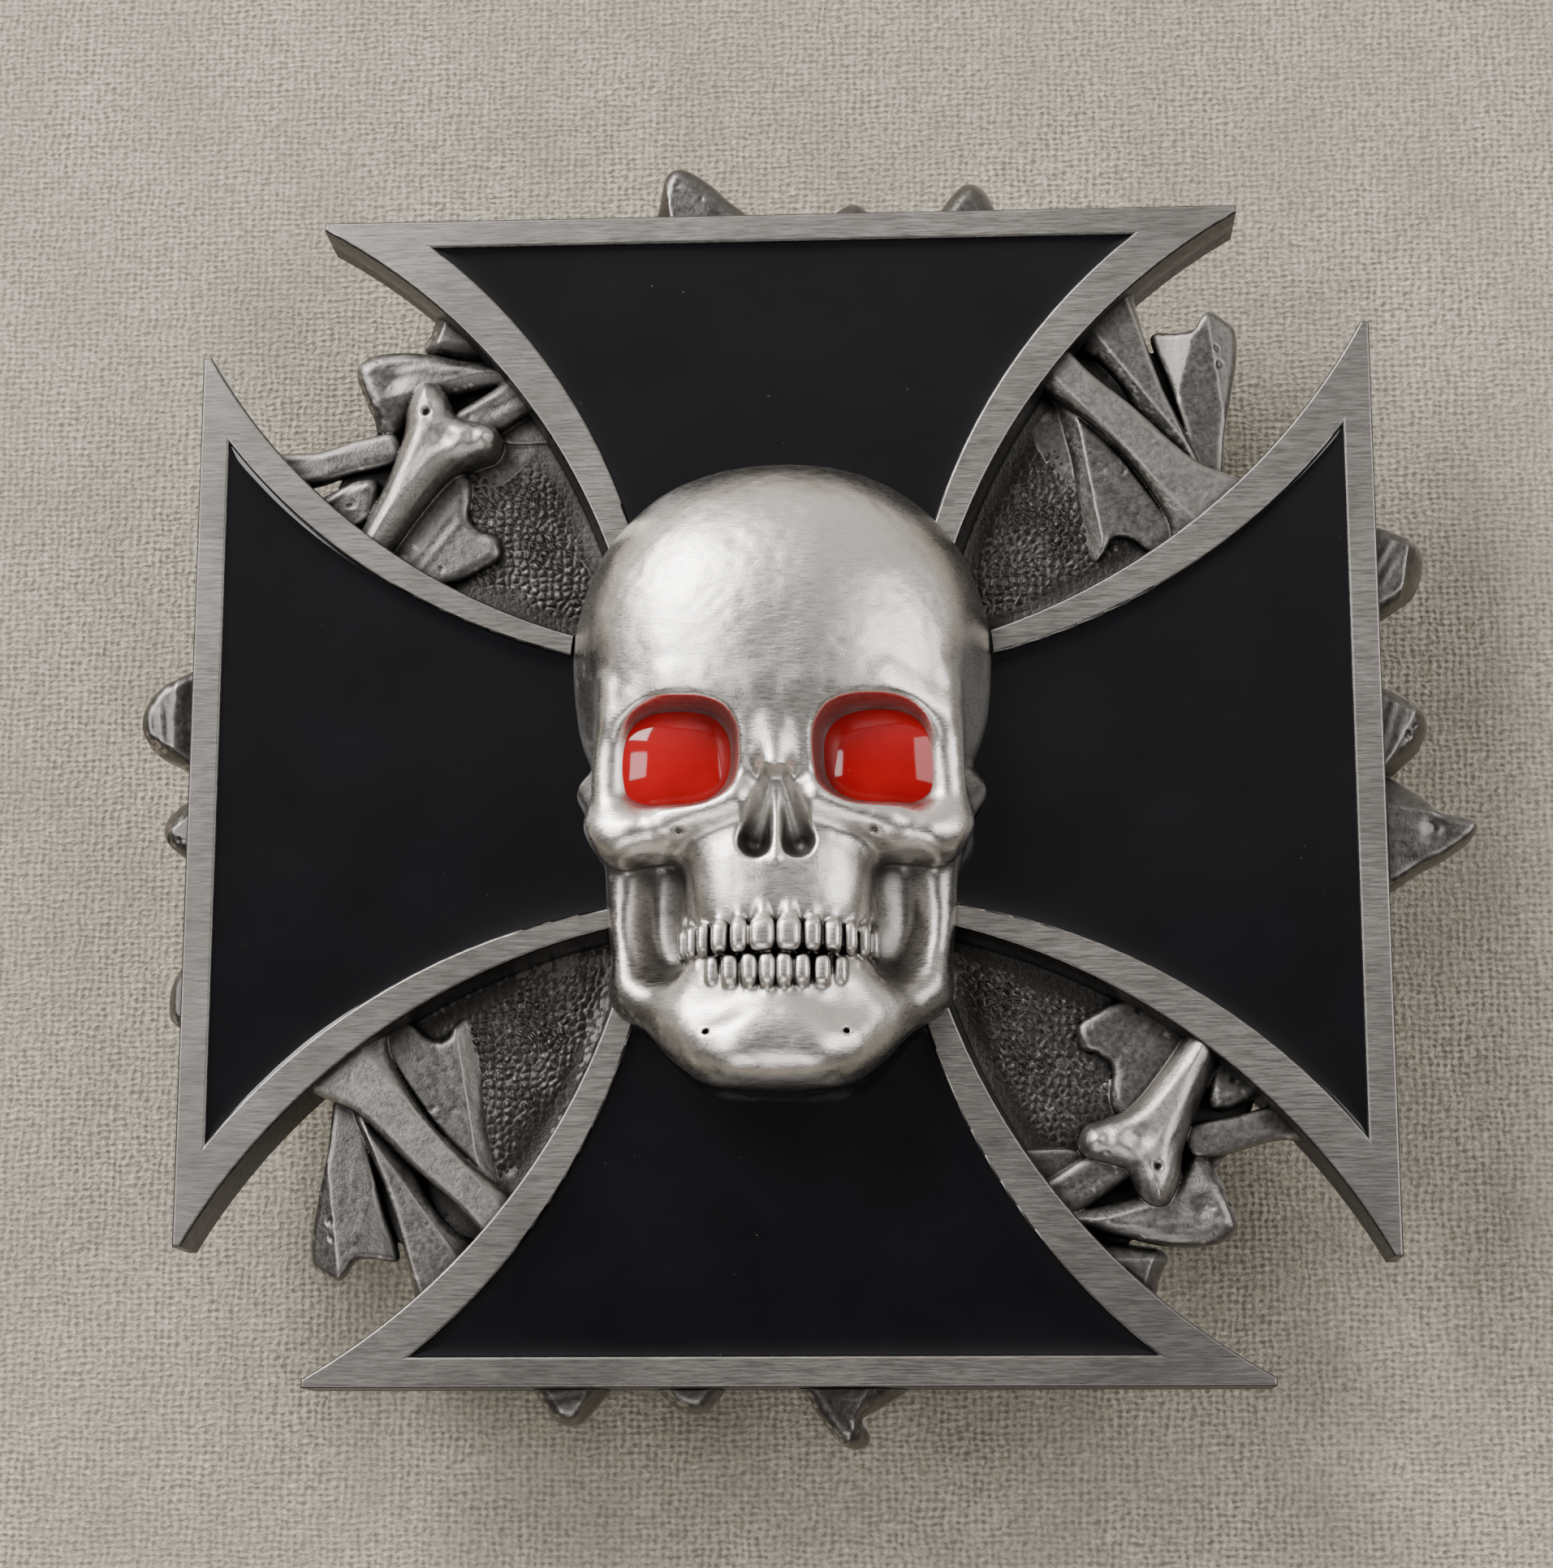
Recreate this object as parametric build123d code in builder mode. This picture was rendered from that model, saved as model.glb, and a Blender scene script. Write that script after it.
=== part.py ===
"""Belt buckle: a flared cross with enamel fields, a skull in relief, bones and a belt loop.

The buckle stands as it is worn. +Z is up, the front faces -Y and X runs along the belt.
The origin is the centre of the cross on the flat back face. Heights towards the front are
measured from the back face, so a height h lies in the plane y = -h.
"""

from build123d import *
from math import cos, radians, sin
import os

# --- cross ------------------------------------------------------------------------------
HALF_SPAN = 42.0  # centre to the flat end of an arm
ROOT_START = 7.0  # centre to where an arm's curved sides begin, inside its neighbours
SIDE_SAGITTA = 4.9  # how far an arm's side bows inwards
TIP_FLAT = 0.6  # each tip ends in a small flat, not a point
DRAFT_SPREAD = 0.8  # the foot stands this much wider at the roots, tapering to nothing at the tips
RIM_AT_ROOT = 1.1  # the rim's width across an arm's root
FIELD_SPAN = 39.9  # centre to the enamel field's straight end
FIELD_TIP = 25.3  # half width of the field at that end
FIELD_SAGITTA = 4.0

# The hand-finished arms differ a little. For each one: its turn from upright, then the half
# widths (tip, root) of its left and of its right side, seen with the arm upright.
ARMS = {
    "top": (0, (33.4, 9.9), (32.8, 10.0)),
    "left": (90, (32.4, 9.6), (31.8, 9.0)),
    "bottom": (180, (33.3, 9.2), (32.8, 9.7)),
    "right": (270, (33.0, 8.7), (33.4, 9.5)),
}

PLATE_THICKNESS = 2.2
WEB_RADIUS = 35.0  # the disc that closes the inner part of the gaps
FIELD_FLOOR = 4.0
ENAMEL_TOP = 5.1
RIM_TOP = 5.4
RIM_ROUND = 0.2

# --- skull: textbook breadths and heights of a human skull, scaled to the relief -----------
SKULL_HEIGHT = 45.0
SKULL_TOP = 23.0
BONE_SCALE = SKULL_HEIGHT / 210.0
BRAINCASE_HALF = 70.0 * BONE_SCALE
CHEEK_HALF = 65.0 * BONE_SCALE
JAW_HALF = 50.0 * BONE_SCALE
CHIN_HALF = 22.0 * BONE_SCALE
NASION = SKULL_TOP - 90.0 * BONE_SCALE  # the root of the nose
ORBIT_HALF_WIDTH = 20.0 * BONE_SCALE
ORBIT_HALF_HEIGHT = 17.5 * BONE_SCALE
ORBIT_X = 32.0 * BONE_SCALE
ORBIT_Z = NASION - 15.0 * BONE_SCALE
NOSE_HALF_WIDTH = 12.0 * BONE_SCALE
NOSE_TOP = NASION - 22.0 * BONE_SCALE
NOSE_BOTTOM = NASION - 50.0 * BONE_SCALE
BITE_LINE = NASION - 80.0 * BONE_SCALE
CHIN = NASION - 120.0 * BONE_SCALE
DOME_RISE = 11.0
DOME_STEPS = (0, 25, 45, 62, 76)  # degrees up the dome at which its sections are taken
FACE_RISE = 9.4
FACE_STEPS = ((0.0, 1.0), (0.6, 0.93), (1.0, 0.72))  # share of the rise, scale of the outline
FACE_ROUND = 2.0
CHEEK_FOOT = NOSE_BOTTOM + 3.0  # where the cheeks turn in towards the jaw
ORBIT_FLOOR = 10.2
EYE_THICKNESS = 1.0
BITE_GAP = 0.4
BITE_LENGTH = 1.5 * JAW_HALF
BITE_DEPTH = 0.8
SKIRT_OVERLAP = 1.0

FORK_NECK = 0.9  # a forked end's branches, as a share of its lobes' radius

PEG_RADIUS = 1.5
PEG_CLEARANCE = 0.1
PEG_HEIGHT = 7.5  # each peg stands this far above or below the centre
PEG_END = 0.2

# --- belt hardware ------------------------------------------------------------------------
WIRE_RADIUS = 1.5
WIRE_CLEARANCE = 0.05
PIVOT_X = -6.0
PIVOT_Y = 3.8
LOOP_REACH = 22.0
LOOP_HALF_WIDTH = 21.5  # to the wire's centre: a 38 mm strap fits inside
LOOP_BEND = 3.2
WIRE_OVERHANG = 0.5  # the wire's ends stand out of the lugs by this much
LUG_INNER = 13.0
LUG_OUTER = 18.0
LUG_HALF_WIDTH = 3.2
SEAT_DEPTH = 1.0
SEAT_CLEARANCE = 0.05
STUD_X = 24.0
STUD_FLANGE = 4.5
STUD_NECK = 2.0
STUD_HEAD = 3.5
STUD_NECK_TOP = 4.2
STUD_BAND_START = 4.8
STUD_END = 8.4
STUD_ROUND = 1.4

FRONT = Plane.XZ  # its normal is -Y, so its offset is a height above the back face


def arm_outline(name, spread=0.0):
    """One arm's outer outline, closed back to the centre and widened by the spread at its root."""
    turn, (left_tip, left_root), (right_tip, right_root) = ARMS[name]
    shoulder = HALF_SPAN - TIP_FLAT
    with BuildSketch() as arm:
        with BuildLine(Plane.XY.rotated((0, 0, turn))):
            left = SagittaArc((-left_root - spread, ROOT_START), (-left_tip, shoulder),
                              -SIDE_SAGITTA)
            right = SagittaArc((right_tip, shoulder), (right_root + spread, ROOT_START),
                               -SIDE_SAGITTA)
            Polyline(left @ 1, (-left_tip, HALF_SPAN), (right_tip, HALF_SPAN), right @ 0)
            Polyline(right @ 1, (0, 0), left @ 0)
        make_face()
    return arm.sketch


def field_outline(name):
    """The enamel field inside one arm's rim, closed back to the centre."""
    turn, (_, left_root), (_, right_root) = ARMS[name]
    with BuildSketch() as field:
        with BuildLine(Plane.XY.rotated((0, 0, turn))):
            left = SagittaArc((RIM_AT_ROOT - left_root, ROOT_START), (-FIELD_TIP, FIELD_SPAN),
                              -FIELD_SAGITTA)
            right = SagittaArc((FIELD_TIP, FIELD_SPAN), (right_root - RIM_AT_ROOT, ROOT_START),
                               -FIELD_SAGITTA)
            Line(left @ 1, right @ 0)
            Polyline(right @ 1, (0, 0), left @ 0)
        make_face()
    return field.sketch


def all_arms(outline, **options):
    """The same outline of all four arms, joined where they meet."""
    with BuildSketch() as cross:
        for name in ARMS:
            add(outline(name, **options))
    return cross.sketch


def skull_footprint():
    """The skull's outline where it meets the floor of the field."""
    with BuildSketch() as footprint:
        with Locations((0, SKULL_TOP - BRAINCASE_HALF)):
            Circle(BRAINCASE_HALF)
        add(face_outline(1.0))
    return footprint.sketch


def face_outline(scale_by):
    """Cheeks, jaw and chin, drawn as one outline and scaled about the bite line."""
    half = [(CHEEK_HALF, ORBIT_Z), (CHEEK_HALF, CHEEK_FOOT), (JAW_HALF, BITE_LINE)]
    half += [(CHIN_HALF, CHIN)]
    points = half + [(-x, z) for x, z in reversed(half)]
    with BuildSketch() as face:
        Polygon(*[(x * scale_by, BITE_LINE + (z - BITE_LINE) * scale_by) for x, z in points],
                align=None)
        fillet(face.vertices(), radius=FACE_ROUND * scale_by)
    return face.sketch


def shaft(start, end, radius):
    """A round shaft between two points given as (x, z, height)."""
    first = Vector(start[0], -start[2], start[1])
    last = Vector(end[0], -end[2], end[1])
    with BuildSketch(Plane(origin=first, z_dir=last - first)) as section:
        Circle(radius)
    extrude(section.sketch, amount=(last - first).length)


def knob(centre, radius):
    """The rounded end of a bone at (x, z, height)."""
    with Locations((centre[0], -centre[2], centre[1])):
        Sphere(radius)


def forked_end(root, lobes, radius):
    """A joint end: two lobes, each joined to the root of the shaft."""
    for lobe in lobes:
        shaft(root, lobe, radius * FORK_NECK)
        knob(lobe, radius)


def femur_pile():
    """The gap with a long bone over a hooked one and low broken ones."""
    shaft((-30.5, 17.2, 4.6), (-24.2, 25.2, 5.0), 1.25)
    forked_end((-24.2, 25.2, 5.0), [(-25.6, 28.4, 4.9), (-21.4, 25.2, 4.7)], 1.35)
    shaft((-19.0, 31.0, 3.0), (-28.6, 30.0, 3.4), 1.5)
    forked_end((-28.6, 30.0, 3.4), [(-29.6, 30.4, 3.4), (-28.3, 27.4, 3.2)], 1.3)
    shaft((-35.2, 24.4, 2.4), (-28.0, 25.9, 2.6), 1.4)
    shaft((-25.6, 17.0, 2.4), (-22.2, 20.0, 2.6), 1.6)
    forked_end((-22.2, 20.0, 2.6), [(-20.6, 18.6, 2.4), (-22.6, 22.2, 2.4)], 1.1)
    shaft((-24.0, 27.2, 2.6), (-18.0, 30.0, 2.6), 1.1)


def broken_pile():
    """The gap with a straight bone across it and fan-shaped broken ends."""
    shaft((18.4, 31.2, 3.6), (31.4, 18.6, 3.6), 1.3)
    forked_end((27.6, 22.2, 3.6), [(31.0, 20.6, 3.4), (29.6, 18.4, 3.4)], 1.2)
    shaft((29.8, 23.4, 2.6), (24.2, 33.6, 2.8), 1.3)
    forked_end((25.4, 31.4, 2.8), [(22.4, 33.4, 2.8), (25.2, 34.4, 2.8)], 1.2)
    shaft((31.6, 23.4, 2.4), (31.0, 31.8, 2.4), 1.3)
    forked_end((31.0, 31.0, 2.4), [(29.6, 32.6, 2.4), (32.0, 33.0, 2.4)], 1.1)
    shaft((19.6, 27.4, 2.4), (23.4, 20.4, 2.4), 1.2)
    forked_end((23.4, 20.4, 2.4), [(22.4, 17.8, 2.4), (26.0, 18.4, 2.4)], 1.2)


def trim_to_gap():
    """Keep what lies in front of the plate and outside the cross."""
    with BuildSketch(FRONT) as footprint:
        add(foot_outline)
    extrude(footprint.sketch, amount=RIM_TOP * 2, mode=Mode.SUBTRACT)
    split(bisect_by=FRONT.offset(PLATE_THICKNESS), keep=Keep.TOP)


def trim_to_edge(outwards):
    """Keep what lies beyond one arm's flat end, in front of the back face."""
    flat_end = Plane(origin=Vector(outwards) * HALF_SPAN, z_dir=outwards)
    split(bisect_by=flat_end, keep=Keep.TOP)
    split(bisect_by=FRONT, keep=Keep.TOP)


def finish(part, name):
    """Label a finished piece and write it."""
    part.label = name
    export_step(part, f"parts/{name}.step")


os.makedirs("parts", exist_ok=True)

# --- base_plate: the ground of the gaps, with seats for the belt hardware -------------------
foot_outline = all_arms(arm_outline, spread=DRAFT_SPREAD)

with BuildPart() as base_plate:
    with BuildSketch(FRONT):
        add(foot_outline)
        Circle(WEB_RADIUS)
    extrude(amount=PLATE_THICKNESS)
    with BuildSketch(FRONT):
        with Locations((0, PEG_HEIGHT), (0, -PEG_HEIGHT)):
            Circle(PEG_RADIUS + PEG_CLEARANCE)
    extrude(amount=PLATE_THICKNESS, mode=Mode.SUBTRACT)
    with BuildSketch(FRONT):
        lug_middle = (LUG_INNER + LUG_OUTER) / 2
        with Locations((PIVOT_X, lug_middle), (PIVOT_X, -lug_middle)):
            Rectangle(2 * (LUG_HALF_WIDTH + SEAT_CLEARANCE),
                      LUG_OUTER - LUG_INNER + 2 * SEAT_CLEARANCE)
        with Locations((STUD_X, 0)):
            Circle(STUD_FLANGE + SEAT_CLEARANCE)
    extrude(amount=SEAT_DEPTH, mode=Mode.SUBTRACT)
finish(base_plate.part, "base_plate")

# --- cross_frame: drafted walls, one cross-shaped field, rounded rims -----------------------
with BuildPart() as cross_frame:
    with BuildSketch(FRONT.offset(PLATE_THICKNESS)):
        add(foot_outline)
    with BuildSketch(FRONT.offset(RIM_TOP)):
        add(all_arms(arm_outline))
    loft(ruled=True)
    with BuildSketch(FRONT.offset(FIELD_FLOOR)):
        add(all_arms(field_outline))
    extrude(amount=RIM_TOP - FIELD_FLOOR, mode=Mode.SUBTRACT)
    rim_face = cross_frame.faces().sort_by(Axis.Y)[0]
    fillet(rim_face.edges(), radius=RIM_ROUND)
    with BuildSketch(FRONT.offset(FIELD_FLOOR)):
        add(skull_footprint())
    extrude(amount=RIM_TOP - FIELD_FLOOR, mode=Mode.SUBTRACT)
    with BuildSketch(FRONT.offset(PLATE_THICKNESS)):
        with Locations((0, PEG_HEIGHT), (0, -PEG_HEIGHT)):
            Circle(PEG_RADIUS + PEG_CLEARANCE)
    extrude(amount=FIELD_FLOOR - PLATE_THICKNESS, mode=Mode.SUBTRACT)
finish(cross_frame.part, "cross_frame")

# --- enamel: one field to each arm, poured round the skull ----------------------------------
for arm_name in ARMS:
    with BuildPart() as enamel:
        with BuildSketch(FRONT.offset(FIELD_FLOOR)):
            add(field_outline(arm_name))
            add(skull_footprint(), mode=Mode.SUBTRACT)
        extrude(amount=ENAMEL_TOP - FIELD_FLOOR)
    finish(enamel.part, f"enamel_{arm_name}")

# --- skull: a domed braincase and a lower face, hollowed for the eyes, nose and bite --------
with BuildPart() as skull:
    for step in DOME_STEPS:
        level = FIELD_FLOOR + DOME_RISE * sin(radians(step))
        with BuildSketch(FRONT.offset(level)):
            with Locations((0, SKULL_TOP - BRAINCASE_HALF)):
                Circle(BRAINCASE_HALF * cos(radians(step)))
    loft()
    for rise, shrink in FACE_STEPS:
        with BuildSketch(FRONT.offset(FIELD_FLOOR + FACE_RISE * rise)):
            add(face_outline(shrink))
    loft(ruled=True)
    with BuildSketch(FRONT.offset(PLATE_THICKNESS)):
        add(skull_footprint())
        add(foot_outline, mode=Mode.SUBTRACT)
    extrude(amount=FIELD_FLOOR - PLATE_THICKNESS + SKIRT_OVERLAP)
    with BuildSketch(FRONT.offset(ORBIT_FLOOR)):
        with Locations((ORBIT_X, ORBIT_Z), (-ORBIT_X, ORBIT_Z)):
            Ellipse(ORBIT_HALF_WIDTH, ORBIT_HALF_HEIGHT)
    extrude(amount=DOME_RISE, mode=Mode.SUBTRACT)
    with BuildSketch(FRONT.offset(ORBIT_FLOOR)):
        Polygon((0, NOSE_TOP), (NOSE_HALF_WIDTH, NOSE_BOTTOM), (-NOSE_HALF_WIDTH, NOSE_BOTTOM),
                align=None)
    extrude(amount=DOME_RISE, mode=Mode.SUBTRACT)
    with BuildSketch(FRONT.offset(FIELD_FLOOR + FACE_RISE - BITE_DEPTH)):
        with Locations((0, BITE_LINE)):
            Rectangle(BITE_LENGTH, BITE_GAP)
    extrude(amount=DOME_RISE, mode=Mode.SUBTRACT)
    with BuildSketch(FRONT.offset(PEG_END)):
        with Locations((0, PEG_HEIGHT), (0, -PEG_HEIGHT)):
            Circle(PEG_RADIUS)
    extrude(amount=FIELD_FLOOR - PEG_END + SKIRT_OVERLAP)
finish(skull.part, "skull")

for side_name, side in (("left", -1), ("right", 1)):
    with BuildPart() as eye_enamel:
        with BuildSketch(FRONT.offset(ORBIT_FLOOR)):
            with Locations((side * ORBIT_X, ORBIT_Z)):
                Ellipse(ORBIT_HALF_WIDTH, ORBIT_HALF_HEIGHT)
        extrude(amount=EYE_THICKNESS)
    finish(eye_enamel.part, f"eye_enamel_{side_name}")

# --- bones in the gaps: a lower pile is the opposite upper pile turned half round -------------
half_turn = Location((0, 0, 0), (0, 180, 0))

with BuildPart() as femur_bones:
    femur_pile()
with BuildPart() as broken_bones:
    broken_pile()
for gap_name, pile in (
    ("upper_left", femur_bones.part),
    ("lower_right", femur_bones.part.moved(half_turn)),
    ("upper_right", broken_bones.part),
    ("lower_left", broken_bones.part.moved(half_turn)),
):
    with BuildPart() as gap_bones:
        add(pile)
        trim_to_gap()
    finish(gap_bones.part, f"bones_{gap_name}")

# --- bone ends past the flat ends of the arms -------------------------------------------------
with BuildPart() as bone_ends_top:
    forked_end((-6.4, 41.4, 2.2), [(-7.6, 45.2, 2.2), (-4.8, 43.0, 2.2)], 1.9)
    knob((5.2, 42.6, 2.0), 1.9)
    knob((13.4, 43.6, 2.0), 2.2)
    trim_to_edge((0, 0, 1))
with BuildPart() as bone_ends_bottom:
    forked_end((4.8, -41.4, 2.2), [(5.0, -44.2, 2.2), (3.6, -43.0, 2.2)], 1.9)
    knob((-6.4, -42.0, 2.0), 1.8)
    knob((-14.6, -42.6, 2.0), 1.9)
    trim_to_edge((0, 0, -1))
with BuildPart() as left_ends_turned:
    forked_end((41.4, -5.0, 2.2), [(43.9, -5.8, 2.2), (43.4, -3.6, 2.2)], 2.0)
    knob((42.4, 2.3, 2.0), 1.9)
    knob((42.3, 14.4, 2.0), 1.4)
    trim_to_edge((1, 0, 0))
with BuildPart() as bone_ends_left:
    add(left_ends_turned.part.moved(half_turn))
with BuildPart() as bone_ends_right:
    forked_end((41.4, -4.0, 2.2), [(46.7, -3.2, 2.2), (43.4, -5.4, 2.2)], 1.9)
    knob((43.2, 3.6, 2.0), 2.2)
    knob((43.4, 15.4, 2.0), 2.3)
    trim_to_edge((1, 0, 0))
for edge_name, edge_bones in (
    ("top", bone_ends_top),
    ("bottom", bone_ends_bottom),
    ("left", bone_ends_left),
    ("right", bone_ends_right),
):
    finish(edge_bones.part, f"bone_ends_{edge_name}")

# --- bail lugs: round-topped blocks seated in the plate, bored for the wire ------------------
for lug_name, lug_start in (("upper", LUG_INNER), ("lower", -LUG_OUTER)):
    with BuildPart() as bail_lug:
        with BuildSketch(Plane.XY.offset(lug_start)):
            with Locations((PIVOT_X, (PIVOT_Y - SEAT_DEPTH) / 2)):
                Rectangle(2 * LUG_HALF_WIDTH, PIVOT_Y + SEAT_DEPTH)
            with Locations((PIVOT_X, PIVOT_Y)):
                Circle(LUG_HALF_WIDTH)
                Circle(WIRE_RADIUS + WIRE_CLEARANCE, mode=Mode.SUBTRACT)
        extrude(amount=LUG_OUTER - LUG_INNER)
    finish(bail_lug.part, f"bail_lug_{lug_name}")

# --- belt_loop: bent wire, its ends turned inwards through the lugs --------------------------
wire_end = LUG_INNER - WIRE_OVERHANG
loop_points = [
    (PIVOT_X, wire_end),
    (PIVOT_X, LOOP_HALF_WIDTH),
    (PIVOT_X - LOOP_REACH, LOOP_HALF_WIDTH),
    (PIVOT_X - LOOP_REACH, -LOOP_HALF_WIDTH),
    (PIVOT_X, -LOOP_HALF_WIDTH),
    (PIVOT_X, -wire_end),
]
with BuildPart() as belt_loop:
    with BuildLine(FRONT.offset(-PIVOT_Y)) as loop_path:
        FilletPolyline(*loop_points, radius=LOOP_BEND)
    with BuildSketch(Plane(origin=loop_path.line @ 0, z_dir=loop_path.line % 0)):
        Circle(WIRE_RADIUS)
    sweep(path=loop_path.line)
finish(belt_loop.part, "belt_loop")

# --- belt_stud: a flange let into the back, a short neck and a rounded head ------------------
with BuildPart() as belt_stud:
    with BuildSketch(Plane.XY):
        with BuildLine():
            Polyline(
                (STUD_X, -SEAT_DEPTH),
                (STUD_X + STUD_FLANGE, -SEAT_DEPTH),
                (STUD_X + STUD_FLANGE, 0),
                (STUD_X + STUD_NECK, 0),
                (STUD_X + STUD_NECK, STUD_NECK_TOP),
                (STUD_X + STUD_HEAD, STUD_BAND_START),
                (STUD_X + STUD_HEAD, STUD_END),
                (STUD_X, STUD_END),
                close=True,
            )
        make_face()
    revolve(axis=Axis((STUD_X, 0, 0), (0, 1, 0)))
    head_rim = belt_stud.edges().filter_by(GeomType.CIRCLE).sort_by(Axis.Y)[-1]
    fillet(head_rim, radius=STUD_ROUND)
finish(belt_stud.part, "belt_stud")
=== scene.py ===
"""The belt buckle's looks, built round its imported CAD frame.

Shapes are worked out in millimetres as (x, z, h): x along the belt, z up and h the height in
front of the back face. A point (x, z, h) stands at (x, -h, z) in the row frame.
"""

from math import cos, pi, radians, sin

import bpy
import numpy as np
import openvdb
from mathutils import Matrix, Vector


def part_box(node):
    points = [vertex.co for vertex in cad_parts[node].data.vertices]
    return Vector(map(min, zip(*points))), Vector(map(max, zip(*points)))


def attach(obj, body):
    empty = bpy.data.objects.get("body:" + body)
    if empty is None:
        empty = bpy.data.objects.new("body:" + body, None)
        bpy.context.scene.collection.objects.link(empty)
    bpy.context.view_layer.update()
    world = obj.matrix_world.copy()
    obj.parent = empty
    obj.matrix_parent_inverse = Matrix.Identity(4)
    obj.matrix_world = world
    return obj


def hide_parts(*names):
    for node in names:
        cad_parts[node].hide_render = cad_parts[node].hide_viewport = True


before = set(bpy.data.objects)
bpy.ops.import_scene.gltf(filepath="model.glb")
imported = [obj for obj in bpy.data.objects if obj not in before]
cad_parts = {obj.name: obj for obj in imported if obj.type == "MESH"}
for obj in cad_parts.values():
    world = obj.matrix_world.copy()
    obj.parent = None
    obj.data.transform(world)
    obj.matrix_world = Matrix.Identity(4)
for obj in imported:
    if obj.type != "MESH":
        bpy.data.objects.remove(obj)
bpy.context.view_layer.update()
MM = 0.001

# --- heights and spans taken from the frame, in millimetres ---------------------------------------
PLATE_TOP = -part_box("base_plate")[0].y / MM
RIM_TOP = -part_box("cross_frame")[0].y / MM
ENAMEL_TOP = -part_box("enamel_top")[0].y / MM
FIELD_FLOOR = -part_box("enamel_top")[1].y / MM
HALF_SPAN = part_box("cross_frame")[1].x / MM
FIELD_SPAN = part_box("enamel_top")[1].z / MM
FIELD_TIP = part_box("enamel_top")[1].x / MM
SKULL_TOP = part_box("skull")[1].z / MM
SKULL_HEIGHT = (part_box("skull")[1].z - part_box("skull")[0].z) / MM
SKULL_FRONT = -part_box("skull")[0].y / MM
PEG_END = -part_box("skull")[1].y / MM

# --- sizes that the frame's boxes don't give ------------------------------------------------------
PEG_RADIUS = 1.5
PEG_HEIGHT = 7.5  # the skull's two pegs stand this far above and below the centre
WEB_RADIUS = 35.0  # how far the plate reaches out in the gaps
ARMS = {  # turn from upright, then (tip, root) half widths of the left and right sides
    "top": (0, (33.4, 9.9), (32.8, 10.0)),
    "left": (90, (32.4, 9.6), (31.8, 9.0)),
    "bottom": (180, (33.3, 9.2), (32.8, 9.7)),
    "right": (270, (33.0, 8.7), (33.4, 9.5)),
}
ROOT_START = 7.0  # from the centre to where an arm's curved sides begin
TIP_FLAT = 0.6  # height of the blunt edge at an arm's tip
SIDE_SAGITTA = 4.9  # how deep an arm's sides curve in
DRAFT_SPREAD = 0.8  # how much wider, to each side, an arm's root is on the plate than at the rim
RIM_AT_ROOT = 1.1  # the rim's width across an arm's root
RIM_ROUND = 0.2
FIELD_SAGITTA = 4.0  # how deep an enamel field's sides curve in


# === small tools ==================================================================================
LATTICE = 32  # lattice_noise repeats after this many steps
SCATTER = 64  # and cells after this many
FAR = 9.0  # more than any cell or grid step reaches


def to_row(points):
    """(x, z, h) in millimetres to row-frame metres."""
    points = np.asarray(points, float)
    return np.stack([points[:, 0], -points[:, 2], points[:, 1]], axis=1) * MM


def make_piece(name, points, faces, material, replaces=()):
    """A smooth mesh piece on the buckle body."""
    mesh = bpy.data.meshes.new(name)
    mesh.from_pydata(to_row(points).tolist(), [], [list(face) for face in faces])
    mesh.polygons.foreach_set("use_smooth", [True] * len(mesh.polygons))
    mesh.materials.append(material)
    piece = bpy.data.objects.new(name, mesh)
    bpy.context.scene.collection.objects.link(piece)
    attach(piece, "buckle")
    if replaces:
        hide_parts(*replaces)


def lattice_noise(points, seed, size):
    """Smooth noise in -1..1: random values on a lattice of this spacing, blended between."""
    table = np.random.default_rng(seed).uniform(-1, 1, (LATTICE, LATTICE, LATTICE))
    scaled = [np.asarray(axis) / step for axis, step in zip(points, np.broadcast_to(size, 3))]
    cell = [np.floor(axis).astype(int) for axis in scaled]
    part = [axis - low for axis, low in zip(scaled, cell)]
    part = [t * t * (3 - 2 * t) for t in part]
    total = 0.0
    for i in (0, 1):
        for j in (0, 1):
            for k in (0, 1):
                weight = (part[0] if i else 1 - part[0]) * (part[1] if j else 1 - part[1])
                weight = weight * (part[2] if k else 1 - part[2])
                value = table[tuple((c + n) % LATTICE for c, n in zip(cell, (i, j, k)))]
                total = total + weight * value
    return total


def cells(x, z, size, seed):
    """Distances from each point to its nearest and second nearest scattered seed."""
    rng = np.random.default_rng(seed)
    jitter = rng.uniform(0.1, 0.9, (SCATTER, SCATTER, 2))
    u, v = x / size, z / size
    column, row = np.floor(u).astype(int), np.floor(v).astype(int)
    near = np.full(x.shape, FAR)
    second = np.full(x.shape, FAR)
    for i in (-1, 0, 1):
        for j in (-1, 0, 1):
            spot = jitter[(column + i) % SCATTER, (row + j) % SCATTER]
            away = np.hypot(column + i + spot[..., 0] - u, row + j + spot[..., 1] - v)
            second = np.minimum(second, np.maximum(near, away))
            near = np.minimum(near, away)
    return near * size, second * size


# === distance fields ==============================================================================
def smooth_min(a, b, blend):
    if blend <= 0:
        return np.minimum(a, b)
    share = np.clip(0.5 + 0.5 * (b - a) / blend, 0, 1)
    return b + (a - b) * share - blend * share * (1 - share)


class Ellipsoid:
    """An ellipsoid, or a squarer form of it with a power above 2."""

    def __init__(self, centre, radii, power=2.0):
        self.centre, self.radii, self.power = centre, radii, power
        self.low, self.high = np.subtract(centre, radii), np.add(centre, radii)

    def at(self, place):
        scaled = [np.abs(axis - c) / r for axis, c, r in zip(place, self.centre, self.radii)]
        reach = sum(t ** self.power for t in scaled) ** (1 / self.power)
        return (reach - 1) * min(self.radii)


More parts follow.
